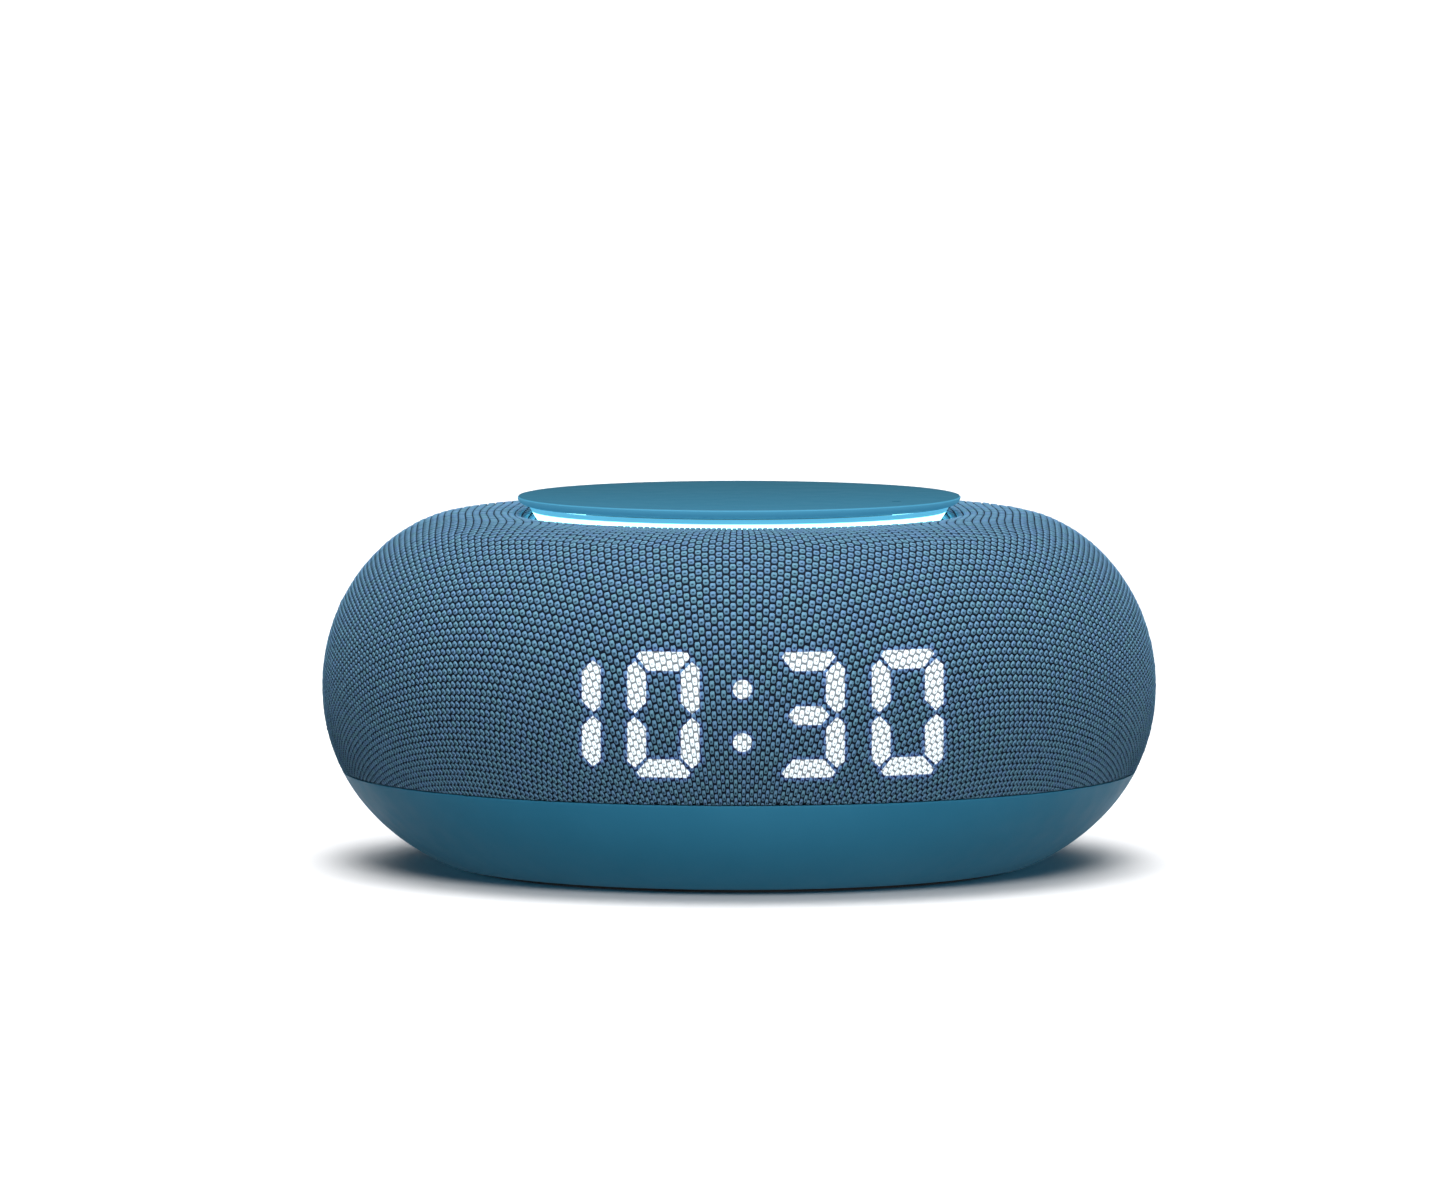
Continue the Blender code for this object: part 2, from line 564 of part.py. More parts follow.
def base_shell():
    seam = at_height(FLANK, SEAM_HEIGHT)
    floor_edge = at_height(FLANK, BASE_BOTTOM)
    steps = [seam + (floor_edge - seam) * k / 6 for k in range(7)]
    outside = [tuple(on_curve(FLANK, t)) for t in steps]
    inside = [tuple(p) for p in (inset_point(FLANK, t, BASE_WALL) for t in steps) if p.y > BASE_FLOOR + MM]
    inside[0] = (inside[0][0], SEAM_HEIGHT)
    foot_in, foot_out = FOOT_RADII[0] - GAP, FOOT_RADII[1] + GAP
    groove = BASE_BOTTOM + 1.3 * MM
    under = [(foot_out, BASE_BOTTOM), (foot_out, groove), (foot_in, groove), (foot_in, BASE_BOTTOM),
             (0, BASE_BOTTOM)]
    profile = outside + under + [(0, BASE_FLOOR), (67 * MM, BASE_FLOOR)] + inside[::-1]
    shell = piece("base_shell", turned(profile), teal_plastic)

    rooted = BASE_FLOOR - MM
    combine(shell, "UNION", rods(uprights(post_places(), rooted, POST_JOINT), 4.5 * MM))
    combine(shell, "UNION", rods(uprights(BOARD_SCREWS, rooted, BOARD_UNDERSIDE - GAP), 3.0 * MM, 8))
    combine(shell, "UNION", boxes(((-21 * MM, -16 * MM, rooted), (21 * MM, 16 * MM, 9.2 * MM))))
    hollow = slab(rounded(DOOR_SIZE[0] + 2 * GAP, DOOR_SIZE[1] + 2 * GAP, DOOR_CORNER, 2), -MM, 8.0 * MM)
    combine(shell, "DIFFERENCE", hollow)
    stud = (DOOR_SCREW_X, 0, 3.2 * MM), (DOOR_SCREW_X, 0, 8.6 * MM)
    combine(shell, "UNION", rods([stud], 2.8 * MM, 8))
    combine(shell, "DIFFERENCE", rods(uprights(post_places(), -MM, 18 * MM), 3.3 * MM))
    combine(shell, "DIFFERENCE", rods(uprights(post_places(), 17 * MM, POST_JOINT + MM), SCREW_HOLE, 8))
    drilled = uprights(BOARD_SCREWS, 6 * MM, BOARD_UNDERSIDE + MM)
    drilled += uprights([(DOOR_SCREW_X, 0)], 2 * MM, 7.2 * MM)
    combine(shell, "DIFFERENCE", rods(drilled, SMALL_SCREW_HOLE, 8))


def foot_ring():
    inner, outer = FOOT_RADII
    top = BASE_BOTTOM + MM
    edge = 0.3 * MM
    profile = [(outer, top), (outer, edge), (outer - edge, 0), (inner + edge, 0), (inner, edge), (inner, top)]
    piece("foot_ring", turned(profile), rubber)


def cell_door():
    panel = slab(rounded(*DOOR_SIZE, DOOR_CORNER, 2), BASE_BOTTOM, 2.8 * MM)
    door = piece("cell_door", panel, teal_plastic, smooth=False)
    place = (DOOR_SCREW_X, 0)
    combine(door, "DIFFERENCE", rods(uprights([place], 0, 2.0 * MM), 2.7 * MM))
    combine(door, "DIFFERENCE", rods(uprights([place], 0, 5.0 * MM), SMALL_SCREW_HOLE, 8))
    fixing = screw(2.3 * MM, 0.8 * MM, 1.1 * MM, 5.0 * MM, (*place, 1.2 * MM))
    piece("cell_door_screw", fixing, steel)
    radius, low, high = 10.0 * MM, 3.2 * MM, 6.4 * MM
    cell = [(radius, high), (radius, low), (0, low), (0, high)]
    piece("backup_cell", turned(cell, 24, Matrix.Translation((CELL_X, 0, 0))), steel)


def screw(head, head_height, shank, length, place, up=1):
    """A screw that points up or down, given at the outer face of its head."""
    neck, tip = up * head_height, up * length
    profile = [(0, 0), (head, 0), (head, neck), (shank, neck), (shank, tip), (0, tip)]
    return turned(profile, 10, Matrix.Translation(place))


def main_board():
    wide, deep = BOARD_SIZE
    top = BOARD_UNDERSIDE + BOARD_THICKNESS
    board = boxes(((-wide / 2, -deep / 2, BOARD_UNDERSIDE), (wide / 2, deep / 2, top)))
    made = piece("main_board", board, circuit_board, smooth=False)
    sunk = top - MM / 2
    parts = boxes(((-36 * MM, -10 * MM, sunk), (-18 * MM, 6 * MM, top + 2.5 * MM)),
                  ((-8 * MM, -8 * MM, sunk), (8 * MM, 8 * MM, top + 6 * MM)),
                  ((14 * MM, -20 * MM, sunk), (24 * MM, -12 * MM, top + 4 * MM)),
                  ((-14 * MM, 20 * MM, sunk), (14 * MM, 26 * MM, top + 5 * MM)))
    combine(made, "UNION", parts)
    cans = [((x * MM, 10 * MM, sunk), (x * MM, 10 * MM, top + 10 * MM)) for x in (22, 32)]
    combine(made, "UNION", rods(cans, 4.0 * MM))
    combine(made, "DIFFERENCE", rods(uprights(BOARD_SCREWS, 5 * MM, 20 * MM), SMALL_SCREW_HOLE, 8))
    for number, (x, y) in enumerate(BOARD_SCREWS, 1):
        head_top = (x, y, top + GAP + 1.6 * MM)
        piece(f"board_screw_{number}", screw(2.6 * MM, 1.6 * MM, 1.1 * MM, 8.0 * MM, head_top, -1), steel)


def base_screws():
    """Four long screws, from the wells in the base up into the posts of the upper shell."""
    for number, (x, y) in enumerate(post_places(), 1):
        fixing = screw(2.9 * MM, 2.2 * MM, 1.5 * MM, 18.0 * MM, (x, y, 15.5 * MM))
        piece(f"base_screw_{number}", fixing, steel)


for old in list(bpy.data.objects):
    bpy.data.objects.remove(old)
charging_plate()
light_ring()
charger()
knit_cover()
upper_shell()
display()
driver(-1)
driver(1)
rear_panel()
buttons()
control_board()
sockets()
base_shell()
foot_ring()
cell_door()
main_board()
base_screws()
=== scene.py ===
"""Looks of the alarm-clock speaker with a charging plate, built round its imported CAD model.

The pieces come in the order in which they are put together: the boards and loudspeakers, the base,
the rear panel with its buttons and sockets, the knit over the upper body, the light ring, and the
charging plate on top. The floor, the light and the camera come last.
"""
import math

import bmesh
import bpy
import numpy as np
from mathutils import Matrix, Vector


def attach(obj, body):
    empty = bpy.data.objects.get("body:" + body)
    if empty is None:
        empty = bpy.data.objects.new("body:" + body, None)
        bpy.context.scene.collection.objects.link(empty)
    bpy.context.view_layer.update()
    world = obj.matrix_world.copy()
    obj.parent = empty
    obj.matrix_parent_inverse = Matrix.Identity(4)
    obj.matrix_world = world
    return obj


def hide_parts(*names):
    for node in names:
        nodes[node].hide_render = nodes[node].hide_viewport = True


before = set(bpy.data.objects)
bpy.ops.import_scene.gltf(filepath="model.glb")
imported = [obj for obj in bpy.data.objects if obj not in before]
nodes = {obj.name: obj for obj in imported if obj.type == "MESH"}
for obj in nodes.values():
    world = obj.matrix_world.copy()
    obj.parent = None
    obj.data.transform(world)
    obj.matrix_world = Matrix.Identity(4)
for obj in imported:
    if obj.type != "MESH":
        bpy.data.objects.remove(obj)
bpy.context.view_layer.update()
MM = 0.001


# ---- Boards, coil, magnets and the rest of the inside ----
# Bought and moulded parts that the knit hides: etched boards, wound copper, pressed paper cones,
# foam gaskets and black ABS frames. The CAD shapes stay, each with the finish of its own material.

def new_material(name):
    """An empty finish: its tree, its shader, and its place on the piece."""
    material = bpy.data.materials.new(name)
    material.use_nodes = True
    tree = material.node_tree
    place = tree.nodes.new("ShaderNodeTexCoord").outputs["Object"]
    return material, tree, tree.nodes["Principled BSDF"], place


def noise(tree, place, scale, detail=2.0):
    node = tree.nodes.new("ShaderNodeTexNoise")
    node.inputs["Scale"].default_value = scale
    node.inputs["Detail"].default_value = detail
    tree.links.new(place, node.inputs["Vector"])
    return node.outputs["Fac"]


def spread(tree, value, low, high, start=0.0, end=1.0):
    """A value from start to end, laid over low to high, and held there."""
    node = tree.nodes.new("ShaderNodeMapRange")
    for name, number in (("From Min", start), ("From Max", end), ("To Min", low), ("To Max", high)):
        node.inputs[name].default_value = number
    tree.links.new(value, node.inputs["Value"])
    return node.outputs["Result"]


def mixed(tree, share, first, second):
    """Two colours mixed. Each is a colour or another node's output."""
    node = tree.nodes.new("ShaderNodeMix")
    node.data_type = "RGBA"
    tree.links.new(share, node.inputs["Factor"])
    for socket, colour in ((node.inputs["A"], first), (node.inputs["B"], second)):
        if isinstance(colour, tuple):
            socket.default_value = (*colour, 1.0)
        else:
            tree.links.new(colour, socket)
    return node.outputs["Result"]


def bumped(tree, shader, height, depth, strength=1.0):
    node = tree.nodes.new("ShaderNodeBump")
    node.inputs["Strength"].default_value = strength
    node.inputs["Distance"].default_value = depth
    tree.links.new(height, node.inputs["Height"])
    tree.links.new(node.outputs["Normal"], shader.inputs["Normal"])


def moulded(name, dark, light, rough, grain=1800.0, depth=0.02 * MM, metal=0.0, patches=35.0, gleam=0.5):
    """A solid finish: two near colours in soft patches, a fine grain, and an uneven gloss."""
    material, tree, shader, place = new_material(name)
    tint = spread(tree, noise(tree, place, patches, 3.0), 0.0, 1.0, 0.3, 0.7)
    tree.links.new(mixed(tree, tint, dark, light), shader.inputs["Base Color"])
    gloss = spread(tree, noise(tree, place, patches * 5), rough[0], rough[1], 0.3, 0.7)
    tree.links.new(gloss, shader.inputs["Roughness"])
    shader.inputs["Metallic"].default_value = metal
    shader.inputs["Specular IOR Level"].default_value = gleam
    bumped(tree, shader, noise(tree, place, grain), depth)
    return material


def etched_board():
    """Green lacquer over copper tracks, which show as a fine raised maze."""
    material, tree, shader, place = new_material("circuit_board")
    cells = tree.nodes.new("ShaderNodeTexVoronoi")
    cells.distance = "MANHATTAN"
    cells.inputs["Scale"].default_value = 260.0
    tree.links.new(place, cells.inputs["Vector"])
    track = spread(tree, cells.outputs["Distance"], 0.0, 1.0, 0.42, 0.5)
    lacquer = mixed(tree, track, (0.006, 0.055, 0.028), (0.02, 0.13, 0.06))
    tree.links.new(lacquer, shader.inputs["Base Color"])
    shader.inputs["Roughness"].default_value = 0.35
    bumped(tree, shader, track, 0.04 * MM)
    return material


def wound_copper():
    """Enamelled wire, laid in rings round the coil's axis."""
    material, tree, shader, place = new_material("copper")
    rings = tree.nodes.new("ShaderNodeTexWave")
    rings.wave_type = "RINGS"
    rings.rings_direction = "Z"
    rings.inputs["Scale"].default_value = 320.0
    tree.links.new(place, rings.inputs["Vector"])
    tree.links.new(mixed(tree, rings.outputs["Fac"], (0.25, 0.07, 0.02), (0.75, 0.33, 0.14)),
                   shader.inputs["Base Color"])
    shader.inputs["Metallic"].default_value = 0.9
    shader.inputs["Roughness"].default_value = 0.3
    bumped(tree, shader, rings.outputs["Fac"], 0.1 * MM)
    return material


black_plastic = moulded("black_plastic", (0.010, 0.010, 0.012), (0.018, 0.018, 0.021), (0.42, 0.55))
steel = moulded("steel", (0.50, 0.51, 0.53), (0.62, 0.63, 0.64), (0.2, 0.34), grain=900.0, metal=1.0)
rubber = moulded("rubber", (0.012, 0.014, 0.016), (0.024, 0.027, 0.030), (0.75, 0.9), grain=1200.0,
                 depth=0.05 * MM)
milky_plastic = moulded("milky_plastic", (0.72, 0.82, 0.86), (0.80, 0.88, 0.91), (0.3, 0.4))
inside_finishes = {
    "black_plastic": black_plastic, "steel": steel, "rubber": rubber, "milky_plastic": milky_plastic,
    "circuit_board": etched_board(), "copper": wound_copper(),
    "ferrite": moulded("ferrite", (0.022, 0.022, 0.025), (0.040, 0.040, 0.043), (0.5, 0.65), grain=700.0),
    "paper_cone": moulded("paper_cone", (0.012, 0.012, 0.012), (0.026, 0.025, 0.024), (0.75, 0.9),
                          grain=500.0, depth=0.1 * MM),
    "foam": moulded("foam", (0.015, 0.015, 0.017), (0.032, 0.032, 0.035), (0.9, 1.0), grain=650.0,
                    depth=0.2 * MM),
}
for node in nodes.values():
    for slot in node.material_slots:
        known = slot.material.name.split(".")[0] if slot.material else ""
        slot.material = inside_finishes.get(known, black_plastic)


# ---- Base shell ----
# The lower body, moulded in satin teal ABS. Its side carries on the curve of the knit above, with a
# dark groove between them and a small bright lip. Four wells and the cell door open in its underside.

BODY_RADIUS = 98.0 * MM
EQUATOR = 42.3 * MM
CREST = (65.0 * MM, 83.0 * MM)
DISH_RIM = (46.8 * MM, 79.8 * MM)
FLAT_RADIUS = 66.3 * MM
SEAM_HEIGHT = 22.6 * MM
BASE_BOTTOM = 1.0 * MM
BASE_FLOOR = 3.5 * MM
BASE_WALL = 2.5 * MM
FOOT_IN, FOOT_OUT = 60.0 * MM, 65.5 * MM
WELL_CIRCLE = 50.0 * MM
DOOR_SIZE = (36.0 * MM, 26.0 * MM)
DOOR_CORNER = 5.0 * MM
DOOR_SCREW_X = 13.5 * MM
GAP = 0.3 * MM
AROUND = 240

SHOULDER = ((BODY_RADIUS, EQUATOR), (BODY_RADIUS, EQUATOR + 24.1 * MM),
            (CREST[0] + 14.6 * MM, CREST[1]), CREST)
DISH = (CREST, (CREST[0] - 6.5 * MM, CREST[1]), (DISH_RIM[0] + 5.2 * MM, CREST[1] + 1.2 * MM), DISH_RIM)
FLANK = ((BODY_RADIUS, EQUATOR), (BODY_RADIUS, EQUATOR - 27.7 * MM), (FLAT_RADIUS + 8.5 * MM, 2.2 * MM),
         (FLAT_RADIUS, 0.0))


def along(curve, count):
    """Evenly stepped points of a cubic curve, as rows of radius and height."""
    t = np.linspace(0.0, 1.0, count)[:, None]
    a, b, c, d = np.array(curve)
    return a * (1 - t) ** 3 + b * 3 * t * (1 - t) ** 2 + c * 3 * t * t * (1 - t) + d * t ** 3


# The body's outline from the dish's rim over the crest and down to the floor, by its length.
outline = np.concatenate([along(DISH, 300)[::-1], along(SHOULDER, 600)[::-1][1:], along(FLANK, 600)[1:]])
outline_s = np.concatenate([[0.0], np.linalg.norm(np.diff(outline, axis=0), axis=1).cumsum()])
tangent = np.gradient(outline, outline_s, axis=0)
tangent /= np.linalg.norm(tangent, axis=1)[:, None]
outwards = np.stack([-tangent[:, 1], tangent[:, 0]], 1)
crest_s = outline_s[299]
side = outline_s > crest_s


def reading(s, columns):
    """What an outline's columns hold at lengths s along it."""
    return np.stack([np.interp(s, outline_s, column) for column in columns.T], -1)


def length_at(height):
    """The length along the outline where its side comes down to a height."""
    return float(np.interp(-height, -outline[side, 1], outline_s[side]))


def skin(start, end, depth, count):
    """Points of the outline between two lengths, at a depth under the surface."""
    s = np.linspace(start, end, count)
    return [tuple(p) for p in reading(s, outline) - depth * reading(s, outwards)]


def turned(profile, around=AROUND, place=Matrix()):
    """The closed solid that an outline of radius and height sweeps round the Z axis."""
    bm = bmesh.new()
    verts = [bm.verts.new((r, 0.0, z)) for r, z in profile]
    edges = [bm.edges.new((verts[k - 1], verts[k])) for k in range(len(verts))]
    bmesh.ops.spin(bm, geom=verts + edges, cent=(0, 0, 0), axis=(0, 0, 1), angle=math.tau,
                   steps=around, use_merge=True)
    bmesh.ops.remove_doubles(bm, verts=bm.verts[:], dist=1e-7)
    bmesh.ops.transform(bm, matrix=place, verts=bm.verts[:])
    bmesh.ops.recalc_face_normals(bm, faces=bm.faces[:])
    return bm


def softened(bm, width, angle=30.0, segments=3):
    """Rounds every edge sharper than an angle."""
    sharp = [e for e in bm.edges if e.is_manifold and e.calc_face_angle() > math.radians(angle)]
    bmesh.ops.bevel(bm, geom=sharp, offset=width, offset_type="OFFSET", segments=segments, profile=0.5,
                    affect="EDGES", material=-1, clamp_overlap=True)
    return bm


def piece(name, bm, *materials):
    """A named object of a mesh, smooth apart from its sharp edges."""
    mesh = bpy.data.meshes.new(name)
    bm.to_mesh(mesh)
    bm.free()
    mesh.shade_smooth()
    mesh.set_sharp_from_angle(angle=math.radians(40))
    for material in materials:
        mesh.materials.append(material)
    made = bpy.data.objects.new(name, mesh)
    bpy.context.scene.collection.objects.link(made)
    return made


def shaped_by(target, bm, operation="DIFFERENCE"):
    """Cuts, joins or trims a piece with another shape, for good."""
    tool = piece("tool", bm)
    change = target.modifiers.new("shape", "BOOLEAN")
    change.operation, change.solver, change.object = operation, "EXACT", tool
    graph = bpy.context.evaluated_depsgraph_get()
    mesh = bpy.data.meshes.new_from_object(target.evaluated_get(graph))
    target.modifiers.clear()
    target.data = mesh
    mesh.set_sharp_from_angle(angle=math.radians(40))
    bpy.data.objects.remove(tool)


def rod(start, end, radius, around=32):
    """A round bar from one point to another."""
    start, end = Vector(start), Vector(end)
    bm = bmesh.new()
    turn = (end - start).to_track_quat("Z", "Y").to_matrix().to_4x4()
    bmesh.ops.create_cone(bm, cap_ends=True, segments=around, radius1=radius, radius2=radius,
                          depth=(end - start).length, matrix=Matrix.Translation((start + end) / 2) @ turn)
    return bm


def block(low, high):
    """A box between two corners."""
    low, high = Vector(low), Vector(high)
    bm = bmesh.new()
    place = Matrix.Translation((low + high) / 2) @ Matrix.Diagonal((*(high - low), 1))
    bmesh.ops.create_cube(bm, size=1.0, matrix=place)
    return bm


def rounded(width, height, corner, steps=8):
    """Outline of a rectangle with round corners, anticlockwise."""
    points = []
    for quarter, (sx, sy) in enumerate(((1, 1), (-1, 1), (-1, -1), (1, -1))):
        for k in range(steps + 1):
            angle = math.pi / 2 * (quarter + k / steps)
            points.append((sx * (width / 2 - corner) + corner * math.cos(angle),
                           sy * (height / 2 - corner) + corner * math.sin(angle)))
    return points


def slab(points, low, high, place=Matrix()):
    """A flat outline, pulled up from one height to another."""
    bm = bmesh.new()
    face = bm.faces.new([bm.verts.new((x, y, low)) for x, y in points])
    grown = bmesh.ops.extrude_face_region(bm, geom=[face])["geom"]
    far_end = [part for part in grown if isinstance(part, bmesh.types.BMVert)]
    bmesh.ops.translate(bm, vec=(0, 0, high - low), verts=far_end)
    bmesh.ops.transform(bm, matrix=place, verts=bm.verts[:])
    bmesh.ops.recalc_face_normals(bm, faces=bm.faces[:])
    return bm


def housed(made, slot, *replaced):
    """Fixes a piece to the housing in place of CAD nodes."""
    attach(made, "housing")
    if replaced:
        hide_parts(*replaced)


teal_plastic = moulded("teal_plastic", (0.024, 0.172, 0.290), (0.029, 0.187, 0.312), (0.48, 0.58),
                       grain=2600.0, depth=0.012 * MM, gleam=0.08)
seam_s = length_at(SEAM_HEIGHT)
foot_s = length_at(BASE_BOTTOM)
GROOVE_TOP = BASE_BOTTOM + 1.3 * MM
outside = skin(seam_s, foot_s, 0.0, 40)
inside = [p for p in skin(seam_s, foot_s, BASE_WALL, 24) if BASE_FLOOR + MM < p[1] < SEAM_HEIGHT - MM]
wall_top = (inside[0][0] + 0.2 * MM, SEAM_HEIGHT)
under = [(FOOT_OUT + GAP, BASE_BOTTOM), (FOOT_OUT + GAP, GROOVE_TOP), (FOOT_IN - GAP, GROOVE_TOP),
         (FOOT_IN - GAP, BASE_BOTTOM), (0, BASE_BOTTOM)]
base = turned(outside + under + [(0, BASE_FLOOR), (67 * MM, BASE_FLOOR)] + inside[::-1] + [wall_top])
base = piece("base_shell_moulding", softened(base, 0.35 * MM), teal_plastic)
wells = [(WELL_CIRCLE * math.cos(a), WELL_CIRCLE * math.sin(a))
         for a in (math.radians(45 + 90 * k) for k in range(4))]
for x, y in wells:
    shaped_by(base, rod((x, y, BASE_FLOOR - MM), (x, y, 25 * MM), 4.5 * MM), "UNION")
shaped_by(base, block((-21 * MM, -16 * MM, BASE_FLOOR - MM), (21 * MM, 16 * MM, 9.2 * MM)), "UNION")
shaped_by(base, slab(rounded(DOOR_SIZE[0] + 2 * GAP, DOOR_SIZE[1] + 2 * GAP, DOOR_CORNER), -MM, 8 * MM))
shaped_by(base, rod((DOOR_SCREW_X, 0, 3.2 * MM), (DOOR_SCREW_X, 0, 8.6 * MM), 2.8 * MM), "UNION")
for x, y in wells:
    shaped_by(base, rod((x, y, -MM), (x, y, 18 * MM), 3.3 * MM))
    shaped_by(base, rod((x, y, 17 * MM), (x, y, 26 * MM), 1.9 * MM))
housed(base, "teal_plastic", "base_shell")


# ---- Foot ring ----
# A ring of soft black rubber, glued in a groove of the base's underside so that it stands 1 mm proud.
# Fine concentric ribs on its sole keep the clock from sliding.

RIBS = 5
rib = (FOOT_OUT - FOOT_IN - MM) / RIBS
sole = []
for k in range(RIBS):
    start = FOOT_IN + 0.5 * MM + k * rib
    sole += [(start + 0.25 * rib, 0.0), (start + 0.75 * rib, 0.0), (start + rib, 0.3 * MM)]
foot = turned([(FOOT_IN, 2 * MM), (FOOT_IN, 0.5 * MM), (FOOT_IN + 0.5 * MM, 0.3 * MM)] + sole[:-1]
              + [(FOOT_OUT - 0.5 * MM, 0.3 * MM), (FOOT_OUT, 0.5 * MM), (FOOT_OUT, 2 * MM)])
foot = piece("foot_ring_rubber", foot, rubber)
housed(foot, "rubber", "foot_ring")


# ---- Cell door and the screws in the underside ----
# The door of the backup cell, a flat teal moulding with five grooves for a finger's grip, that one short
# screw holds. Four long screws sit deep in round wells and pull the base up to the upper shell. All have
# a cross recess.

door = softened(slab(rounded(*DOOR_SIZE, DOOR_CORNER), BASE_BOTTOM, 2.8 * MM), 0.25 * MM)
door = piece("cell_door_cover", door, teal_plastic)
shaped_by(door, rod((DOOR_SCREW_X, 0, 0), (DOOR_SCREW_X, 0, 2 * MM), 2.7 * MM))
shaped_by(door, rod((DOOR_SCREW_X, 0, 0), (DOOR_SCREW_X, 0, 5 * MM), 1.5 * MM))
for k in range(5):
    x = -14.5 * MM + 1.6 * MM * k
    shaped_by(door, block((x, -6 * MM, 0), (x + 0.7 * MM, 6 * MM, 1.35 * MM)))
housed(door, "teal_plastic", "cell_door")


def cross_screw(name, node, head, head_height, shank, length, place):
    """A pan-head screw pointing up, given at the outer face of its head."""
    crown = [(head * math.sin(a), 0.56 * head_height * (1 - math.cos(a))) for a in (0.0, 0.5, 1.0, 1.4)]
    profile = crown + [(head, head_height), (shank, head_height), (shank, length - shank),
                       (0.3 * shank, length), (0, length)]
    made = piece(name, turned(profile, 32, Matrix.Translation(place)), steel)
    reach, half, deep = 0.62 * head, 0.13 * head, 0.6 * head_height
    for wide, tall in ((reach, half), (half, reach)):
        x, y, z = place
        shaped_by(made, block((x - wide, y - tall, z - MM), (x + wide, y + tall, z + deep)))
    housed(made, "steel", node)


cross_screw("door_screw_cross", "cell_door_screw", 2.3 * MM, 0.8 * MM, 1.1 * MM, 5 * MM,
            (DOOR_SCREW_X, 0, 1.2 * MM))
for number, (x, y) in enumerate(wells, 1):
    cross_screw(f"well_screw_cross_{number}", f"base_screw_{number}", 2.9 * MM, 2.2 * MM, 1.5 * MM, 18 * MM,
                (x, y, 15.5 * MM))


# ---- Rear panel ----
# A teal moulding let into the back of the upper body. Its rim is level with the knit at its rounded corners
# and straight between them, so the middles of its long edges lie about 3.6 mm deeper. Its sunk floor has
# five round holes for the buttons, and one each for the charging socket and the power inlet.

PANEL_MIDDLE = 42.0 * MM
PANEL_SIZE = (68.0 * MM, 24.0 * MM)
PANEL_CORNER = 8.0 * MM
PANEL_BACK = 88.0 * MM
PANEL_FACE = 90.0 * MM
RECESS_INSET = 2.3 * MM
BUTTON_ROW = 47.0 * MM
BUTTON_PITCH = 12.0 * MM
SOCKET_ROW = 37.0 * MM
USB_X, INLET_X = -11.0 * MM, 11.0 * MM
BUTTON_HOLE, INLET_HOLE = 3.6 * MM, 4.6 * MM
HOLES_FROM, HOLES_TO = 80 * MM, 99 * MM


def body_back(x, z, depth=0.0):
    """How far back the body's surface is at a place seen from behind."""
    s = length_at(z)
    (r, _), (out, _) = reading(s, outline), reading(s, outwards)
    return math.sqrt((r - depth * out) ** 2 - x * x)


def panel_loop(bm, inset, back=None, depth=0.0):
    """The panel's outline, drawn in by an inset, its points on the body's surface or at one place back."""
    width, height = (size - 2 * inset for size in PANEL_SIZE)
    verts = []
    for x, z in rounded(width, height, PANEL_CORNER - 0.85 * inset):
        z += PANEL_MIDDLE
        verts.append(bm.verts.new((x, body_back(x, z, depth) if back is None else back, z)))
    return verts


panel = bmesh.new()
loops = [panel_loop(panel, 0.0, back=PANEL_BACK),
         panel_loop(panel, 0.0, depth=0.45 * MM),
         panel_loop(panel, 0.12 * MM, depth=0.14 * MM),
         panel_loop(panel, 0.45 * MM),
         panel_loop(panel, RECESS_INSET - 0.5 * MM),
         panel_loop(panel, RECESS_INSET - 0.15 * MM, depth=0.12 * MM),
         panel_loop(panel, RECESS_INSET, depth=0.45 * MM),
         panel_loop(panel, RECESS_INSET + 0.1 * MM, back=PANEL_FACE + 0.3 * MM),
         panel_loop(panel, RECESS_INSET + 0.4 * MM, back=PANEL_FACE)]
for first, second in zip(loops, loops[1:]):
    for k in range(len(first)):
        panel.faces.new((first[k - 1], first[k], second[k], second[k - 1]))
panel.faces.new(loops[0])
panel.faces.new(loops[-1])
bmesh.ops.recalc_face_normals(panel, faces=panel.faces[:])
rear = piece("rear_panel_moulding", panel, teal_plastic)
button_places = [BUTTON_PITCH * (k - 2) for k in range(5)]
for x in button_places:
    shaped_by(rear, rod((x, HOLES_FROM, BUTTON_ROW), (x, HOLES_TO, BUTTON_ROW), BUTTON_HOLE, 48))
shaped_by(rear, rod((INLET_X, HOLES_FROM, SOCKET_ROW), (INLET_X, HOLES_TO, SOCKET_ROW), INLET_HOLE, 48))
shaped_by(rear, block((USB_X - 7.5 * MM, HOLES_FROM, SOCKET_ROW - 3.8 * MM),
                      (USB_X + 7.5 * MM, HOLES_TO, SOCKET_ROW + 3.8 * MM)))
housed(rear, "teal_plastic", "rear_panel")


# ---- Buttons ----
# Five round caps in the panel's teal, each on its own stem over a switch, with a flange that holds it
# behind the panel. A raised mark on each face says what it does: power, quieter, louder, alarm, light.

def bar_mark(bm, wide, tall, x=0.0, z=0.0, turn=0.0):
    place = Matrix.Rotation(turn, 4, "Z") @ Matrix.Translation((x, z, 0))
    bmesh.ops.create_cube(bm, size=1.0, matrix=place @ Matrix.Diagonal((wide, tall, 0.3 * MM, 1)))


def ring_mark(bm, radius, start=0.0, angle=math.tau):
    """A raised ring or part of one."""
    half = 0.16 * MM
    square = ((-half, -half), (half, -half), (half, half), (-half, half))
    corners = [bm.verts.new((radius + dx, 0, dz)) for dx, dz in square]
    section = bm.faces.new(corners)
    bmesh.ops.rotate(bm, cent=(0, 0, 0), matrix=Matrix.Rotation(start, 3, "Z"), verts=corners)
    whole = angle == math.tau
    geom = [*section.edges, *corners] if whole else [section, *section.edges, *corners]
    if whole:
        bm.faces.remove(section)
    bmesh.ops.spin(bm, geom=geom, cent=(0, 0, 0), axis=(0, 0, 1), angle=angle, steps=24, use_merge=whole)


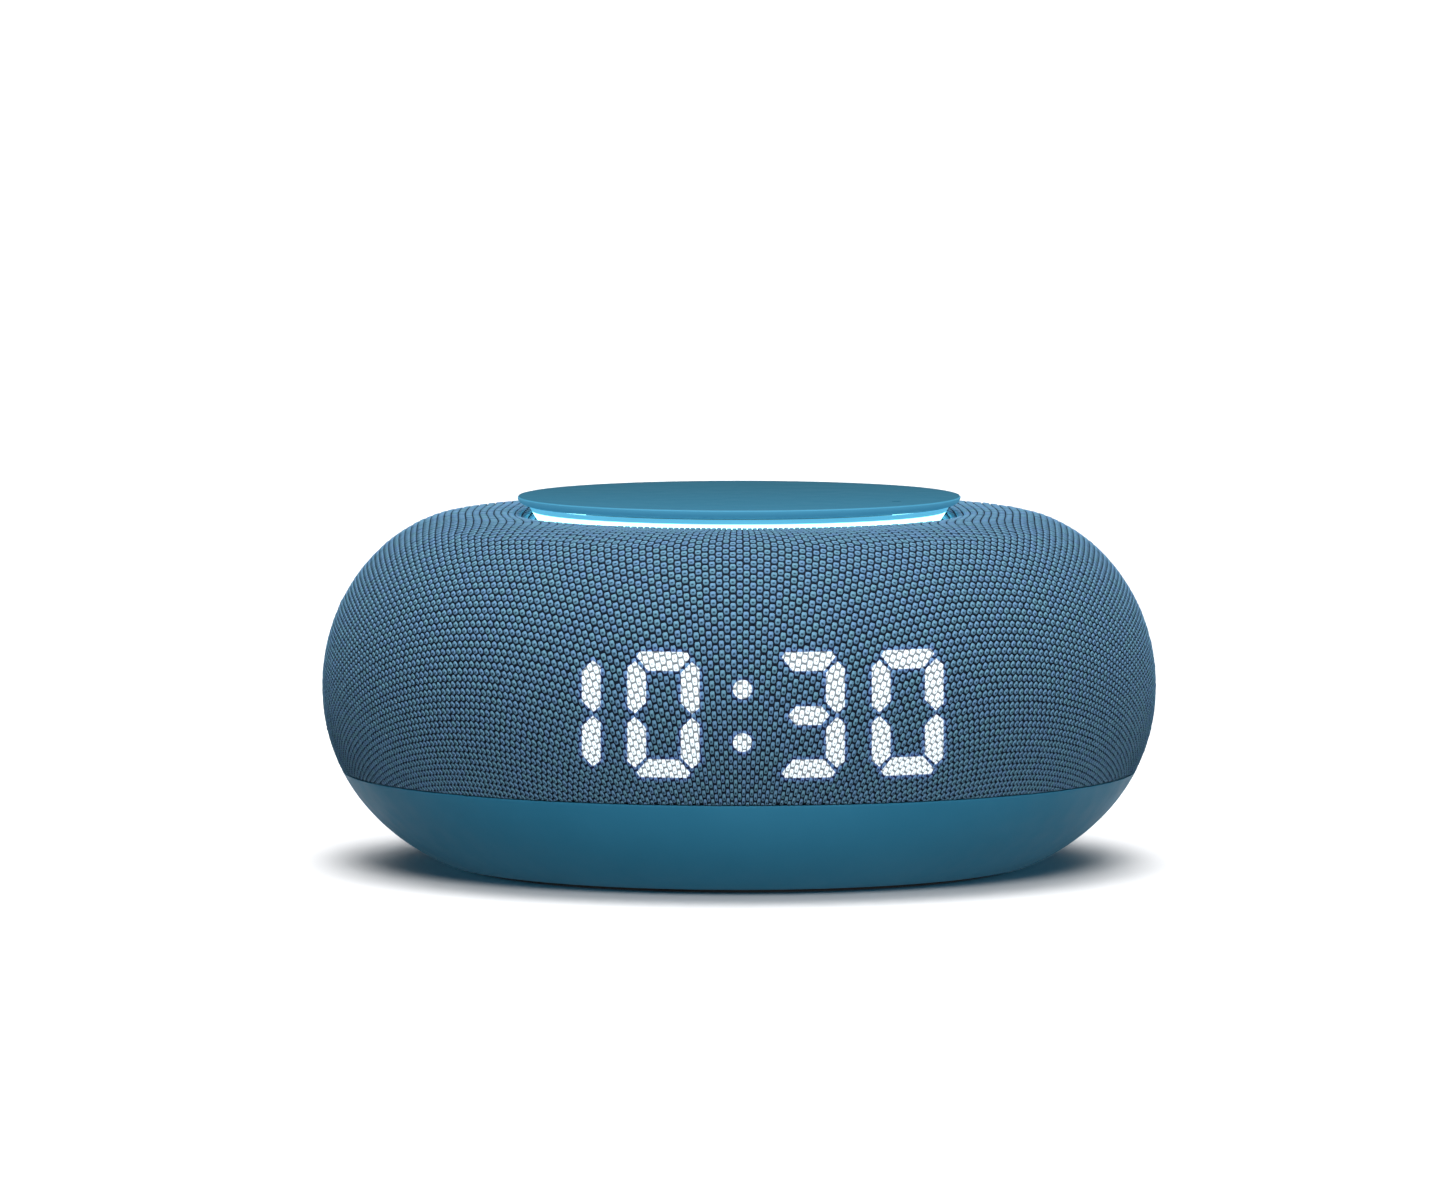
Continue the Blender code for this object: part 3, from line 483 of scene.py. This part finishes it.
def add_mark(bm, name):
    if name == "power":
        ring_mark(bm, 1.2 * MM, math.radians(125), math.radians(290))
        bar_mark(bm, 0.32 * MM, 1.2 * MM, z=0.95 * MM)
    elif name.startswith("volume"):
        bar_mark(bm, 2.2 * MM, 0.36 * MM)
        if name == "volume_up":
            bar_mark(bm, 0.36 * MM, 2.2 * MM)
    elif name == "alarm":
        ring_mark(bm, 1.2 * MM)
        bar_mark(bm, 0.28 * MM, 0.9 * MM, z=0.4 * MM)
        bar_mark(bm, 0.7 * MM, 0.28 * MM, x=0.3 * MM)
    else:
        ring_mark(bm, 0.6 * MM)
        for k in range(8):
            bar_mark(bm, 0.5 * MM, 0.26 * MM, x=1.3 * MM, turn=math.tau * k / 8)


facing_back = Matrix.Rotation(-math.pi / 2, 4, "X")
for name, x in zip(("power", "volume_down", "volume_up", "alarm", "light"), button_places):
    profile = [(0, 0), (2.7, 0), (3.05, -0.12), (3.25, -0.38), (3.3, -0.7), (3.3, -3.5),
               (4.2, -3.5), (4.2, -4.5), (1.5, -4.5), (1.5, -6.6), (0, -6.6)]
    place = Matrix.Translation((x, PANEL_FACE + 1.2 * MM, BUTTON_ROW)) @ facing_back
    cap = turned([(r * MM, z * MM) for r, z in profile], 48, place)
    mark = bmesh.new()
    add_mark(mark, name)
    bmesh.ops.recalc_face_normals(mark, faces=mark.faces[:])
    # The mark's own up is towards the top of the body, seen from behind.
    bmesh.ops.transform(mark, matrix=place @ Matrix.Rotation(math.pi, 4, "Z"), verts=mark.verts[:])
    joined = bpy.data.meshes.new("mark")
    mark.to_mesh(joined)
    mark.free()
    cap.from_mesh(joined)
    button = piece(f"button_{name}_cap", cap, teal_plastic)
    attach(button, f"button_{name}_body")
    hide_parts(f"button_{name}")


# ---- Charging socket ----
# A folded steel shell for a charging plug, with rounded corners and an open mouth. A black tongue with
# four plated contacts stands in it.

half_wide, half_tall = 7.2 * MM, 3.5 * MM
shell = softened(block((USB_X - half_wide, PANEL_FACE - 14.3 * MM, SOCKET_ROW - half_tall),
                       (USB_X + half_wide, PANEL_FACE, SOCKET_ROW + half_tall)), 0.5 * MM)
socket = piece("usb_shell", shell, steel)
shaped_by(socket, softened(block((USB_X - 6.25 * MM, PANEL_FACE - 9 * MM, SOCKET_ROW - 2.4 * MM),
                                 (USB_X + 6.25 * MM, PANEL_FACE + 2 * MM, SOCKET_ROW + 2.4 * MM)), 0.3 * MM))
tongue = softened(block((USB_X - 5.6 * MM, PANEL_FACE - 8.9 * MM, SOCKET_ROW + 0.2 * MM),
                        (USB_X + 5.6 * MM, PANEL_FACE - 0.8 * MM, SOCKET_ROW + 1.9 * MM)), 0.2 * MM)
tongue = piece("usb_tongue", tongue, black_plastic)
contacts = bmesh.new()
for k in range(4):
    x = USB_X + (k - 1.5) * 2.4 * MM
    place = Matrix.Translation((x, PANEL_FACE - 4.6 * MM, SOCKET_ROW + 0.2 * MM))
    strip = Matrix.Diagonal((1.0 * MM, 6.0 * MM, 0.2 * MM, 1))
    bmesh.ops.create_cube(contacts, size=1.0, matrix=place @ strip)
plating = moulded("plated_contact", (0.70, 0.48, 0.16), (0.78, 0.56, 0.22), (0.2, 0.3), metal=1.0)
contacts = piece("usb_contacts", contacts, plating)
housed(socket, "steel", "usb_port")
housed(tongue, "black_plastic")
housed(contacts, "steel")


# ---- Power inlet ----
# A round black inlet for a barrel plug. Its nose fills the panel's hole, and a plated pin stands in the
# middle of its bore.

NOSE, BORE, PIN = 4.3 * MM, 3.1 * MM, 0.95 * MM
into_panel = Matrix.Translation((INLET_X, PANEL_FACE, SOCKET_ROW)) @ facing_back
nose = [(BORE, -9.5 * MM), (BORE, -0.35 * MM), (BORE + 0.3 * MM, 0), (NOSE - 0.3 * MM, 0), (NOSE, -0.3 * MM),
        (NOSE, -2.9 * MM), (4.4 * MM, -2.9 * MM), (4.4 * MM, -14 * MM), (0, -14 * MM), (0, -9.5 * MM)]
inlet = piece("inlet_body", turned(nose, 64, into_panel), black_plastic)
pin = [(0, -1.5 * MM), (0.6 * PIN, -1.6 * MM), (PIN, -2.1 * MM), (PIN, -9.45 * MM), (0, -9.45 * MM)]
inlet_pin = piece("inlet_pin", turned(pin, 32, into_panel), steel)
housed(inlet, "black_plastic", "power_inlet")
housed(inlet_pin, "steel")


# ---- Knit cover ----
# One flat piece of warp knit, stretched over the upper body from the charging plate's dish down to the seam
# and bonded at both edges. Its rows run across the front and turn upright towards the sides. Raised stitches
# stand on a ground painted near black as the shade between them. Lamps behind the front of it show the time
# through the yarn.

KNIT_EDGE = SEAM_HEIGHT + 0.12 * MM
GROUND_DEPTH = 0.45 * MM
GROUND_THICKNESS = 0.5 * MM
knit_s = length_at(KNIT_EDGE)

# The time on the display, in millimetres: each digit's middle, and the shape of its bars.
DISPLAY_MIDDLE = 43.4
DIGITS = ((-39.65, "1"), (-17.25, "0"), (15.55, "3"), (38.05, "0"))
COLON_X, COLON_SPREAD, COLON_RADIUS = 0.6, 6.0, 2.3
HALF_STROKE = 2.27
UPRIGHT_X, UPRIGHT_Z = 6.05, 6.22
FLAT_Z = 12.12


def maths(tree, operation, *values):
    """A sum or another operation on numbers or other nodes' outputs."""
    node = tree.nodes.new("ShaderNodeMath")
    node.operation = operation
    for socket, value in zip(node.inputs, values):
        if isinstance(value, (int, float)):
            socket.default_value = value
        else:
            tree.links.new(value, socket)
    return node.outputs[0]


def bar_distance(tree, lengthwise, outward, inner, inner_slope, outer, outer_slope):
    """How far a place is outside a bar, whose ends slope both ways from a blunt tip."""
    reach = maths(tree, "ABSOLUTE", lengthwise)
    width = maths(tree, "SUBTRACT", maths(tree, "ABSOLUTE", outward), HALF_STROKE)
    inner_shift = maths(tree, "MULTIPLY", outward, inner_slope)
    outer_shift = maths(tree, "MULTIPLY", outward, outer_slope)
    inner_end = maths(tree, "SUBTRACT", maths(tree, "SUBTRACT", reach, inner_shift), inner)
    outer_end = maths(tree, "SUBTRACT", maths(tree, "ADD", reach, outer_shift), outer)
    return maths(tree, "MAXIMUM", width, maths(tree, "MAXIMUM", inner_end, outer_end))


def display_distance(tree, place):
    """How far a place at the front is outside the lit digits, in millimetres."""
    split = tree.nodes.new("ShaderNodeSeparateXYZ")
    tree.links.new(place, split.inputs[0])
    x = maths(tree, "MULTIPLY", split.outputs["X"], 1000.0)
    z = maths(tree, "SUBTRACT", maths(tree, "MULTIPLY", split.outputs["Z"], 1000.0), DISPLAY_MIDDLE)
    tall = maths(tree, "ABSOLUTE", z)
    upright_z = maths(tree, "SUBTRACT", tall, UPRIGHT_Z)
    flat_z = maths(tree, "SUBTRACT", tall, FLAT_Z)
    dot = maths(tree, "SUBTRACT", tall, COLON_SPREAD)
    across = maths(tree, "SUBTRACT", x, COLON_X)
    squares = maths(tree, "ADD", maths(tree, "MULTIPLY", dot, dot), maths(tree, "MULTIPLY", across, across))
    nearest = maths(tree, "SUBTRACT", maths(tree, "SQRT", squares), COLON_RADIUS)
    for middle, digit in DIGITS:
        sideways = maths(tree, "SUBTRACT", x, middle)
        if digit == "0":
            sideways = maths(tree, "ABSOLUTE", sideways)
        upright_x = maths(tree, "SUBTRACT", sideways, UPRIGHT_X)
        bars = [bar_distance(tree, upright_z, upright_x, 5.61, 1.0, 6.3, 0.84)]
        if digit in "03":
            bars.append(bar_distance(tree, sideways, flat_z, 5.42, 0.82, 6.86, 0.67))
        if digit == "3":
            inward = maths(tree, "MULTIPLY", tall, -1.0)
            bars.append(bar_distance(tree, sideways, inward, 4.85, 0.855, 9.0, 0.0))
        for distance in bars:
            nearest = maths(tree, "MINIMUM", nearest, distance)
    # The back of the body has the same places from side to side, so it's kept out.
    behind = maths(tree, "MULTIPLY", maths(tree, "GREATER_THAN", split.outputs["Y"], 0.0), 50.0)
    return maths(tree, "ADD", nearest, behind)


def knit_finish(name, lit):
    """Blue yarn with painted shade: light on each stitch's crown, dark between stitches and in each dimple,
    with the digits' light in it.
    """
    material, tree, shader, place = new_material(name)
    yarn = tree.nodes.new("ShaderNodeAttribute")
    yarn.attribute_name = "yarn"
    parts = tree.nodes.new("ShaderNodeSeparateColor")
    tree.links.new(yarn.outputs["Color"], parts.inputs[0])
    tint = parts.outputs["Green"]
    # A painted dark spot stands for the shade in the dimple where the yarn turns in, a little below the
    # middle of each stitch.
    across = maths(tree, "MULTIPLY", maths(tree, "SUBTRACT", parts.outputs["Blue"], 0.5), 1.15)
    lengthwise = maths(tree, "MULTIPLY", maths(tree, "SUBTRACT", yarn.outputs["Alpha"], 0.56), 1.9)
    out = maths(tree, "SQRT", maths(tree, "ADD", maths(tree, "MULTIPLY", across, across),
                                    maths(tree, "MULTIPLY", lengthwise, lengthwise)))
    crown = maths(tree, "MULTIPLY", parts.outputs["Red"], spread(tree, out, 0.25, 1.0, 0.10, 0.36))
    # The ramp lays painted shade on the blue: near black at each stitch's rim and in its dimple, light on
    # its crown.
    ramp = tree.nodes.new("ShaderNodeValToRGB")
    tree.links.new(crown, ramp.inputs["Fac"])
    stops = ((0.0, (0.003, 0.009, 0.018)), (0.4, (0.022, 0.062, 0.100)), (1.0, (0.112, 0.250, 0.365)))
    while len(ramp.color_ramp.elements) < len(stops):
        ramp.color_ramp.elements.new(0.5)
    for element, (position, colour) in zip(ramp.color_ramp.elements, stops):
        element.position, element.color = position, (*colour, 1.0)
    dyed = mixed(tree, tint, (0.98, 0.90, 1.04), (0.98, 1.0, 0.94))
    full = tree.nodes.new("ShaderNodeMix")
    full.data_type, full.blend_type = "RGBA", "MULTIPLY"
    full.inputs["Factor"].default_value = 1.0
    tree.links.new(ramp.outputs["Color"], full.inputs["A"])
    tree.links.new(dyed, full.inputs["B"])
    colour = full.outputs["Result"]
    if lit:
        # In the digits the yarn is painted light grey and glows as the lamps' light through it, with each
        # stitch's painted shade kept in both; a painted blue glow spills round their edges.
        away = display_distance(tree, place)
        light = spread(tree, away, 1.0, 0.0, -0.26, -0.04)
        fringe = spread(tree, away, 0.30, 0.0, 0.0, 1.0)
        shade = spread(tree, crown, 0.16, 1.0, 0.0, 0.75)
        grey = mixed(tree, shade, (0.06, 0.08, 0.10), (0.42, 0.47, 0.50))
        colour = mixed(tree, light, colour, grey)
        glow = mixed(tree, light, (0.14, 0.16, 0.75), (0.86, 0.96, 1.0))
        tree.links.new(glow, shader.inputs["Emission Color"])
        strength = maths(tree, "MULTIPLY", maths(tree, "MAXIMUM", light, fringe), shade)
        tree.links.new(maths(tree, "MULTIPLY", strength, 0.80), shader.inputs["Emission Strength"])
    tree.links.new(colour, shader.inputs["Base Color"])
    tree.links.new(spread(tree, noise(tree, place, 900.0), 0.7, 0.9, 0.3, 0.7), shader.inputs["Roughness"])
    shader.inputs["Specular IOR Level"].default_value = 0.12
    bumped(tree, shader, noise(tree, place, 2400.0), 0.05 * MM, 0.6)
    return material


ground_back = skin(0.0, knit_s, GROUND_DEPTH + GROUND_THICKNESS, 60)
ground_loop = skin(0.0, knit_s, GROUND_DEPTH, 90) + ground_back[::-1]
# The ground carries no yarn attribute, so its finish paints it near black, as the shade between the
# stitches.
ground = piece("knit_ground", turned(ground_loop), knit_finish("knit_ground_yarn", lit=True))
opening = rounded(PANEL_SIZE[0] + 2 * GAP, PANEL_SIZE[1] + 2 * GAP, PANEL_CORNER + GAP)
swap_yz = Matrix(((1, 0, 0, 0), (0, 0, 1, 0), (0, 1, 0, 0), (0, 0, 0, 1)))
shaped_by(ground, slab(opening, 60 * MM, 110 * MM, Matrix.Translation((0, 0, PANEL_MIDDLE)) @ swap_yz))

# One stitch as it lies at the front: a loop that is wider, higher and rounder at its lower end. Its places
# are in columns across, rows along the cloth, and millimetres over the ground.
one = bmesh.new()
bmesh.ops.create_circle(one, cap_ends=True, segments=8, radius=1.0,
                        matrix=Matrix.Rotation(math.pi / 8, 4, "Z"))
bmesh.ops.inset_region(one, faces=one.faces[:], thickness=0.2, use_boundary=True, use_even_offset=True)
one.verts.index_update()
stitch, stitch_shade = [], []
for vert in one.verts:
    rim = vert.co.xy.length > 0.95
    # The upper end is squarer and narrower than the lower one, which is round.
    across = math.copysign(abs(vert.co.x) ** (0.6 if vert.co.y > 0 else 0.4), vert.co.x)
    lengthwise = vert.co.y ** 0.8 if vert.co.y > 0 else -abs(vert.co.y) ** 0.5
    stitch.append((across * (0.465 + 0.03 * lengthwise), lengthwise * 0.435 - 0.03,
                   0.0 if rim else 0.34 + 0.10 * lengthwise))
    # The rim is painted dark as shade where the yarn dives into the ground, and darkest at the lower end as
    # painted shadow under the loop; the crown is painted light.
    stitch_shade.append((0.0 if lengthwise > 0.3 else 0.08) if rim else 0.95 + 0.05 * lengthwise)
stitch_faces = [[vert.index for vert in face.verts] for face in one.faces]
one.free()
stitch, stitch_shade = np.array(stitch), np.array(stitch_shade)


RIM_COLUMNS = 29.6
COLUMNS_PER_MM = 0.6
CREST_MM = 35.0
MIDDLE_TO_RIM_MM = 46.8
ROW_PITCH_MM = 2.32
DRAWN_TO, DRAWN_OVER = 30 * MM, 18 * MM


def columns_at(s):
    """How many columns lie between the middle and the side of the cloth, at a length s down the outline."""
    mm = s / MM
    past_crest = np.maximum(mm - CREST_MM, 0.0)
    return RIM_COLUMNS + COLUMNS_PER_MM * mm + 0.02 * past_crest + 0.0052 * past_crest ** 2


def rows_at(s):
    """How many rows lie between the middle and the front of the cloth, at a length s."""
    return (s / MM + MIDDLE_TO_RIM_MM) / ROW_PITCH_MM


def out_from_middle(column, row, s):
    """How far out flat places lie: 1 on the curve at a length s, and less inside it."""
    return (column / columns_at(s)) ** 2 + (row / rows_at(s)) ** 2


def on_body(column, row):
    """Where a place in the flat cloth comes to lie, by length down the outline and angle from the front."""
    low, high = np.zeros_like(column), np.full_like(column, knit_s)
    for _ in range(26):
        s = (low + high) / 2
        beyond = out_from_middle(column, row, s) > 1
        low, high = np.where(beyond, s, low), np.where(beyond, high, s)
    angle = np.arctan2(column / columns_at(s), row / rows_at(s))
    # In the dish the columns are drawn together at the front and at the back.
    drawn = 0.13 * np.clip((DRAWN_TO - s) / DRAWN_OVER, 0, 1)
    return s, angle - drawn * np.sin(2 * angle)


def outside_panel(x, z):
    """How far a place is outside the rear panel's outline, and the way that leads out."""
    qx = np.abs(x) - (PANEL_SIZE[0] / 2 - PANEL_CORNER)
    qz = np.abs(z - PANEL_MIDDLE) - (PANEL_SIZE[1] / 2 - PANEL_CORNER)
    corner = np.hypot(np.maximum(qx, 0), np.maximum(qz, 0))
    away = corner + np.minimum(np.maximum(qx, qz), 0) - PANEL_CORNER
    divisor = np.maximum(corner, 1e-9)
    round_x, round_z = np.maximum(qx, 0) / divisor, np.maximum(qz, 0) / divisor
    way_x = np.where(corner > 0, round_x, qx > qz) * np.sign(x)
    way_z = np.where(corner > 0, round_z, qx <= qz) * np.sign(z - PANEL_MIDDLE)
    return away, way_x, way_z


column, row = np.meshgrid(np.arange(-110, 111), np.arange(-64, 65), indexing="ij")
column = column.ravel().astype(float)
row = row.ravel() + 0.5 * (np.abs(column) % 2)
covered = (out_from_middle(column, row, 0.0) > 0.96) & (out_from_middle(column, row, knit_s) < 1.012)
column, row = column[covered], row[covered]
s, angle = on_body(column, row)
r, z = reading(s, outline).T
x, y = r * np.sin(angle), -r * np.cos(angle)
clear = (y < 0) | (outside_panel(x, z)[0] > -1.1 * MM)
column, row, x, y, z = (values[clear] for values in (column, row, x, y, z))
chance = np.random.default_rng(7)
tint = chance.uniform(0, 1, len(column))
jitter = chance.normal(0, 1, (len(column), 3)) * (0.018, 0.022, 0.02)


def stitched(name, chosen, material):
    """The raised stitches at the chosen places, as one piece."""
    count, points = int(chosen.sum()), len(stitch)
    at = (np.stack([column, row], 1)[chosen] + jitter[chosen, :2])[:, None]
    flat = at + stitch[None, :, :2]
    s, angle = on_body(flat[..., 0], flat[..., 1])
    r, z = reading(s, outline).transpose(2, 0, 1)
    height = (stitch[None, :, 2] * (1 + jitter[chosen, 2:] * 4)) * MM - GROUND_DEPTH - 0.02 * MM
    # Near the rear panel the stitches are pressed back to its edge.
    x, y = r * np.sin(angle), -r * np.cos(angle)
    away, way_x, way_z = outside_panel(x, z)
    push = np.where(y > 0, np.maximum(0.12 * MM - away, 0), 0)
    x, z = x + push * way_x, z + push * way_z
    moved = push > 0
    level = np.interp(-z, -outline[side, 1], outline_s[side])
    s = np.where(moved, level, s)
    (r, _), (out, up) = reading(s, outline).transpose(2, 0, 1), reading(s, outwards).transpose(2, 0, 1)
    turn = np.where(moved, np.pi - np.arcsin(np.clip(x / r, -1, 1)), angle)
    r, z = r + height * out, z + height * up
    place = np.stack([r * np.sin(turn), -r * np.cos(turn), z], -1).reshape(-1, 3)
    starts = np.arange(count) * points
    faces = [[k + start for k in face] for start in starts.tolist() for face in stitch_faces]
    mesh = bpy.data.meshes.new(name)
    mesh.from_pydata(place, [], faces)
    mesh.shade_smooth()
    yarn = mesh.attributes.new("yarn", "FLOAT_COLOR", "POINT")
    # The yarn attribute holds each stitch's painted shade, its random tint, and its place across and along
    # the stitch.
    shade = np.ones((count, points, 4))
    shade[..., 0] = stitch_shade
    shade[..., 1] = tint[chosen, None]
    shade[..., 2:] = stitch[:, :2] + 0.5
    yarn.data.foreach_set("color", shade.astype(np.float32).ravel())
    # Each stitch keeps its place in the flat cloth on the map, and the piece's part of the cloth fills it.
    low, high = flat.reshape(-1, 2).min(0), flat.reshape(-1, 2).max(0)
    spot = 0.01 + 0.98 * (flat.reshape(-1, 2) - low) / (high - low)
    corners = np.empty(len(mesh.loops), np.int32)
    mesh.loops.foreach_get("vertex_index", corners)
    mesh.uv_layers.new(name="cloth").uv.foreach_set("vector", spot[corners].astype(np.float32).ravel())
    mesh.materials.append(material)
    made = bpy.data.objects.new(name, mesh)
    bpy.context.scene.collection.objects.link(made)
    return made


lit_yarn = knit_finish("knit_yarn_over_lamps", lit=True)
plain_yarn = knit_finish("knit_yarn", lit=False)
over_lamps = (y < 0) & (np.abs(x) < 50 * MM) & (z > 27 * MM) & (z < 60 * MM)
front = (y < 0) & ~over_lamps
stitches = [stitched("knit_stitches_display", over_lamps, lit_yarn),
            stitched("knit_stitches_front_upper", front & (z > 62 * MM), plain_yarn),
            stitched("knit_stitches_front_lower", front & (z <= 62 * MM), plain_yarn),
            stitched("knit_stitches_back_upper", (y >= 0) & (z > 62 * MM), plain_yarn),
            stitched("knit_stitches_back_lower", (y >= 0) & (z <= 62 * MM), plain_yarn)]
housed(ground, "blue_knit", "knit_cover")
for made in stitches:
    housed(made, "blue_knit")


# ---- Light ring ----
# A milky ring between the dish and the charging plate, lit by small lamps under it. It glows white, and
# cyan along the top where the tinted plate hangs over it.

PLATE_UNDERSIDE = 84.6 * MM
RING_FOOT = 78.2 * MM
ring_top = PLATE_UNDERSIDE - GAP


def lit_ring():
    material, tree, shader, place = new_material("lit_ring")
    split = tree.nodes.new("ShaderNodeSeparateXYZ")
    tree.links.new(place, split.inputs[0])
    cyan = spread(tree, split.outputs["Z"], 0.0, 1.0, 83.1 * MM, 83.4 * MM)
    uneven = spread(tree, noise(tree, place, 40.0), 0.94, 1.0, 0.3, 0.7)
    colour = mixed(tree, cyan, (0.36, 0.97, 1.0), (0.14, 0.60, 0.90))
    tree.links.new(colour, shader.inputs["Emission Color"])
    strength = maths(tree, "MULTIPLY", spread(tree, cyan, 4.5, 0.78), uneven)
    tree.links.new(strength, shader.inputs["Emission Strength"])
    shader.inputs["Base Color"].default_value = (0.10, 0.22, 0.26, 1.0)
    shader.inputs["Roughness"].default_value = 0.35
    bumped(tree, shader, noise(tree, place, 1500.0), 0.01 * MM)
    return material


ring = [(49.3 * MM, ring_top), (48.0 * MM, 82.2 * MM), (46.4 * MM, 79.8 * MM), (45.5 * MM, RING_FOOT),
        (43.5 * MM, RING_FOOT), (44.4 * MM, 79.8 * MM), (47.2 * MM, ring_top)]
ring = piece("light_ring_glow", softened(turned(ring), 0.12 * MM, segments=2), lit_ring())
housed(ring, "milky_plastic", "light_ring")


# ---- Charging plate ----
# The round plate that a phone lies on, moulded in the same satin teal with a rounded edge, and undercut so
# that it seems to float on the light. A pin-head lens near its edge shows that a phone is charging.

PLATE_RADIUS = 52.0 * MM
PLATE_TOP = 86.9 * MM
LENS = (36.6 * MM, -22.6 * MM)


def plate_finish():
    """Satin teal, painted lighter at the front, with a painted glow on its thin rim that stands in for the
    ring's light.
    """
    material, tree, shader, place = new_material("plate_plastic")
    split = tree.nodes.new("ShaderNodeSeparateXYZ")
    tree.links.new(place, split.inputs[0])
    # Painted light: the plate's colour runs lighter from the back to the front; the clouds are its own
    # uneven tone.
    near = spread(tree, split.outputs["Y"], 1.0, 0.0, -48.0 * MM, 40.0 * MM)
    clouds = maths(tree, "MULTIPLY", noise(tree, place, 14.0), 0.2)
    soft = maths(tree, "ADD", maths(tree, "MULTIPLY", near, 0.8), clouds)
    colour = mixed(tree, soft, (0.011, 0.075, 0.115), (0.018, 0.110, 0.176))
    tree.links.new(colour, shader.inputs["Base Color"])
    tree.links.new(spread(tree, noise(tree, place, 150.0), 0.62, 0.70, 0.3, 0.7), shader.inputs["Roughness"])
    shader.inputs["Specular IOR Level"].default_value = 0.12
    # A painted glow on the rim and underside, lighter towards the top edge as painted shading, stands in for
    # the ring's light in the tinted plastic.
    rim = spread(tree, split.outputs["Z"], 1.0, 0.0, 86.62 * MM, 86.82 * MM)
    high = spread(tree, split.outputs["Z"], 0.0, 1.0, 84.8 * MM, 86.6 * MM)
    glow = mixed(tree, high, (0.035, 0.195, 0.340), (0.070, 0.290, 0.460))
    tree.links.new(glow, shader.inputs["Emission Color"])
    tree.links.new(maths(tree, "MULTIPLY", rim, 0.8), shader.inputs["Emission Strength"])
    bumped(tree, shader, noise(tree, place, 2600.0), 0.012 * MM)
    return material


PLATE_CEILING = 85.3 * MM
plate = [(0, PLATE_TOP), (51.3 * MM, PLATE_TOP), (51.75 * MM, 86.8 * MM), (PLATE_RADIUS, 86.5 * MM),
         (51.95 * MM, 86.0 * MM), (51.5 * MM, 85.4 * MM), (50.7 * MM, 84.9 * MM),
         (49.6 * MM, PLATE_UNDERSIDE), (46.0 * MM, PLATE_UNDERSIDE), (46.0 * MM, PLATE_CEILING),
         (0, PLATE_CEILING)]
plate = piece("charging_plate_top", turned(plate), plate_finish())
shaped_by(plate, rod((*LENS, 85.0 * MM), (*LENS, 88.0 * MM), 1.1 * MM))
housed(plate, "teal_plastic", "charging_plate")
lens = [(0, 86.8 * MM), (0.5 * MM, 86.77 * MM), (0.8 * MM, 86.6 * MM), (0.8 * MM, PLATE_CEILING),
        (0, PLATE_CEILING)]
lens = piece("charge_lens_dome", turned(lens, 32, Matrix.Translation((*LENS, 0))), milky_plastic)
housed(lens, "milky_plastic", "charge_lens")


# ---- Floor, light and camera ----
# One large soft lamp at the front, a sky that is bright straight overhead, and a long lens. The sky's lower
# half stands for light off the floor, which itself casts none on the pieces. The camera sees the sky white
# where it is dim.

floor = bmesh.new()
bmesh.ops.create_circle(floor, cap_ends=True, segments=96, radius=40.0)
paint = moulded("floor_paint", (0.74, 0.74, 0.745), (0.75, 0.75, 0.75), (0.8, 0.9), patches=2.0, gleam=0.1)
floor = piece("floor", floor, paint)
floor.visible_diffuse = False

world = bpy.data.worlds.new("studio")
world.use_nodes = True
sky = world.node_tree
direction = sky.nodes.new("ShaderNodeSeparateXYZ")
sky.links.new(sky.nodes.new("ShaderNodeTexCoord").outputs["Generated"], direction.inputs[0])
overhead = maths(sky, "POWER", maths(sky, "MAXIMUM", direction.outputs["Z"], 0.0), 12.0)
above = spread(sky, overhead, 0.05, 11.8)
lengthwise = maths(sky, "POWER", maths(sky, "ABSOLUTE", direction.outputs["Y"]), 4.0)
sideways = spread(sky, direction.outputs["X"], 0.0, 0.4, -1.0, 1.0)
straight_down = maths(sky, "MULTIPLY", direction.outputs["Z"], direction.outputs["Z"])
below = maths(sky, "ADD", maths(sky, "MULTIPLY", lengthwise, 3.3), sideways)
below = maths(sky, "MULTIPLY", below, spread(sky, straight_down, 1.0, 0.15))
upper = spread(sky, direction.outputs["Z"], 0.0, 1.0, -0.15, 0.05)
lower = maths(sky, "SUBTRACT", 1.0, upper)
strength = maths(sky, "ADD", maths(sky, "MULTIPLY", above, upper), maths(sky, "MULTIPLY", below, lower))
seen = sky.nodes.new("ShaderNodeLightPath").outputs["Is Camera Ray"]
sky.links.new(maths(sky, "MAXIMUM", strength, seen), sky.nodes["Background"].inputs["Strength"])
sky.nodes["Background"].inputs["Color"].default_value = (0.985, 0.99, 1.0, 1.0)
bpy.context.scene.world = world

lamp = bpy.data.lights.new("soft_lamp", "AREA")
lamp.shape, lamp.size, lamp.energy = "DISK", 1.1, 44.0
soft_lamp = bpy.data.objects.new("soft_lamp", lamp)
lamp_place = Vector((0.15, -2.25, 1.7))
lamp_turn = lamp_place.to_track_quat("Z", "Y").to_matrix().to_4x4()
soft_lamp.matrix_world = Matrix.Translation(lamp_place) @ lamp_turn
bpy.context.scene.collection.objects.link(soft_lamp)

aim = Vector((-3.9 * MM, 0.0, 61.8 * MM))
tilt = 0.0771
eye = aim + 2.41 * Vector((0.0, -math.cos(tilt), math.sin(tilt)))
view = bpy.data.cameras.new("camera")
view.sensor_width, view.lens, view.clip_end = 36.0, 255.5, 200.0
camera = bpy.data.objects.new("camera", view)
camera.matrix_world = Matrix.Translation(eye) @ (eye - aim).to_track_quat("Z", "Y").to_matrix().to_4x4()
bpy.context.scene.collection.objects.link(camera)
bpy.context.scene.camera = camera
bpy.context.scene.view_settings.view_transform = "Standard"
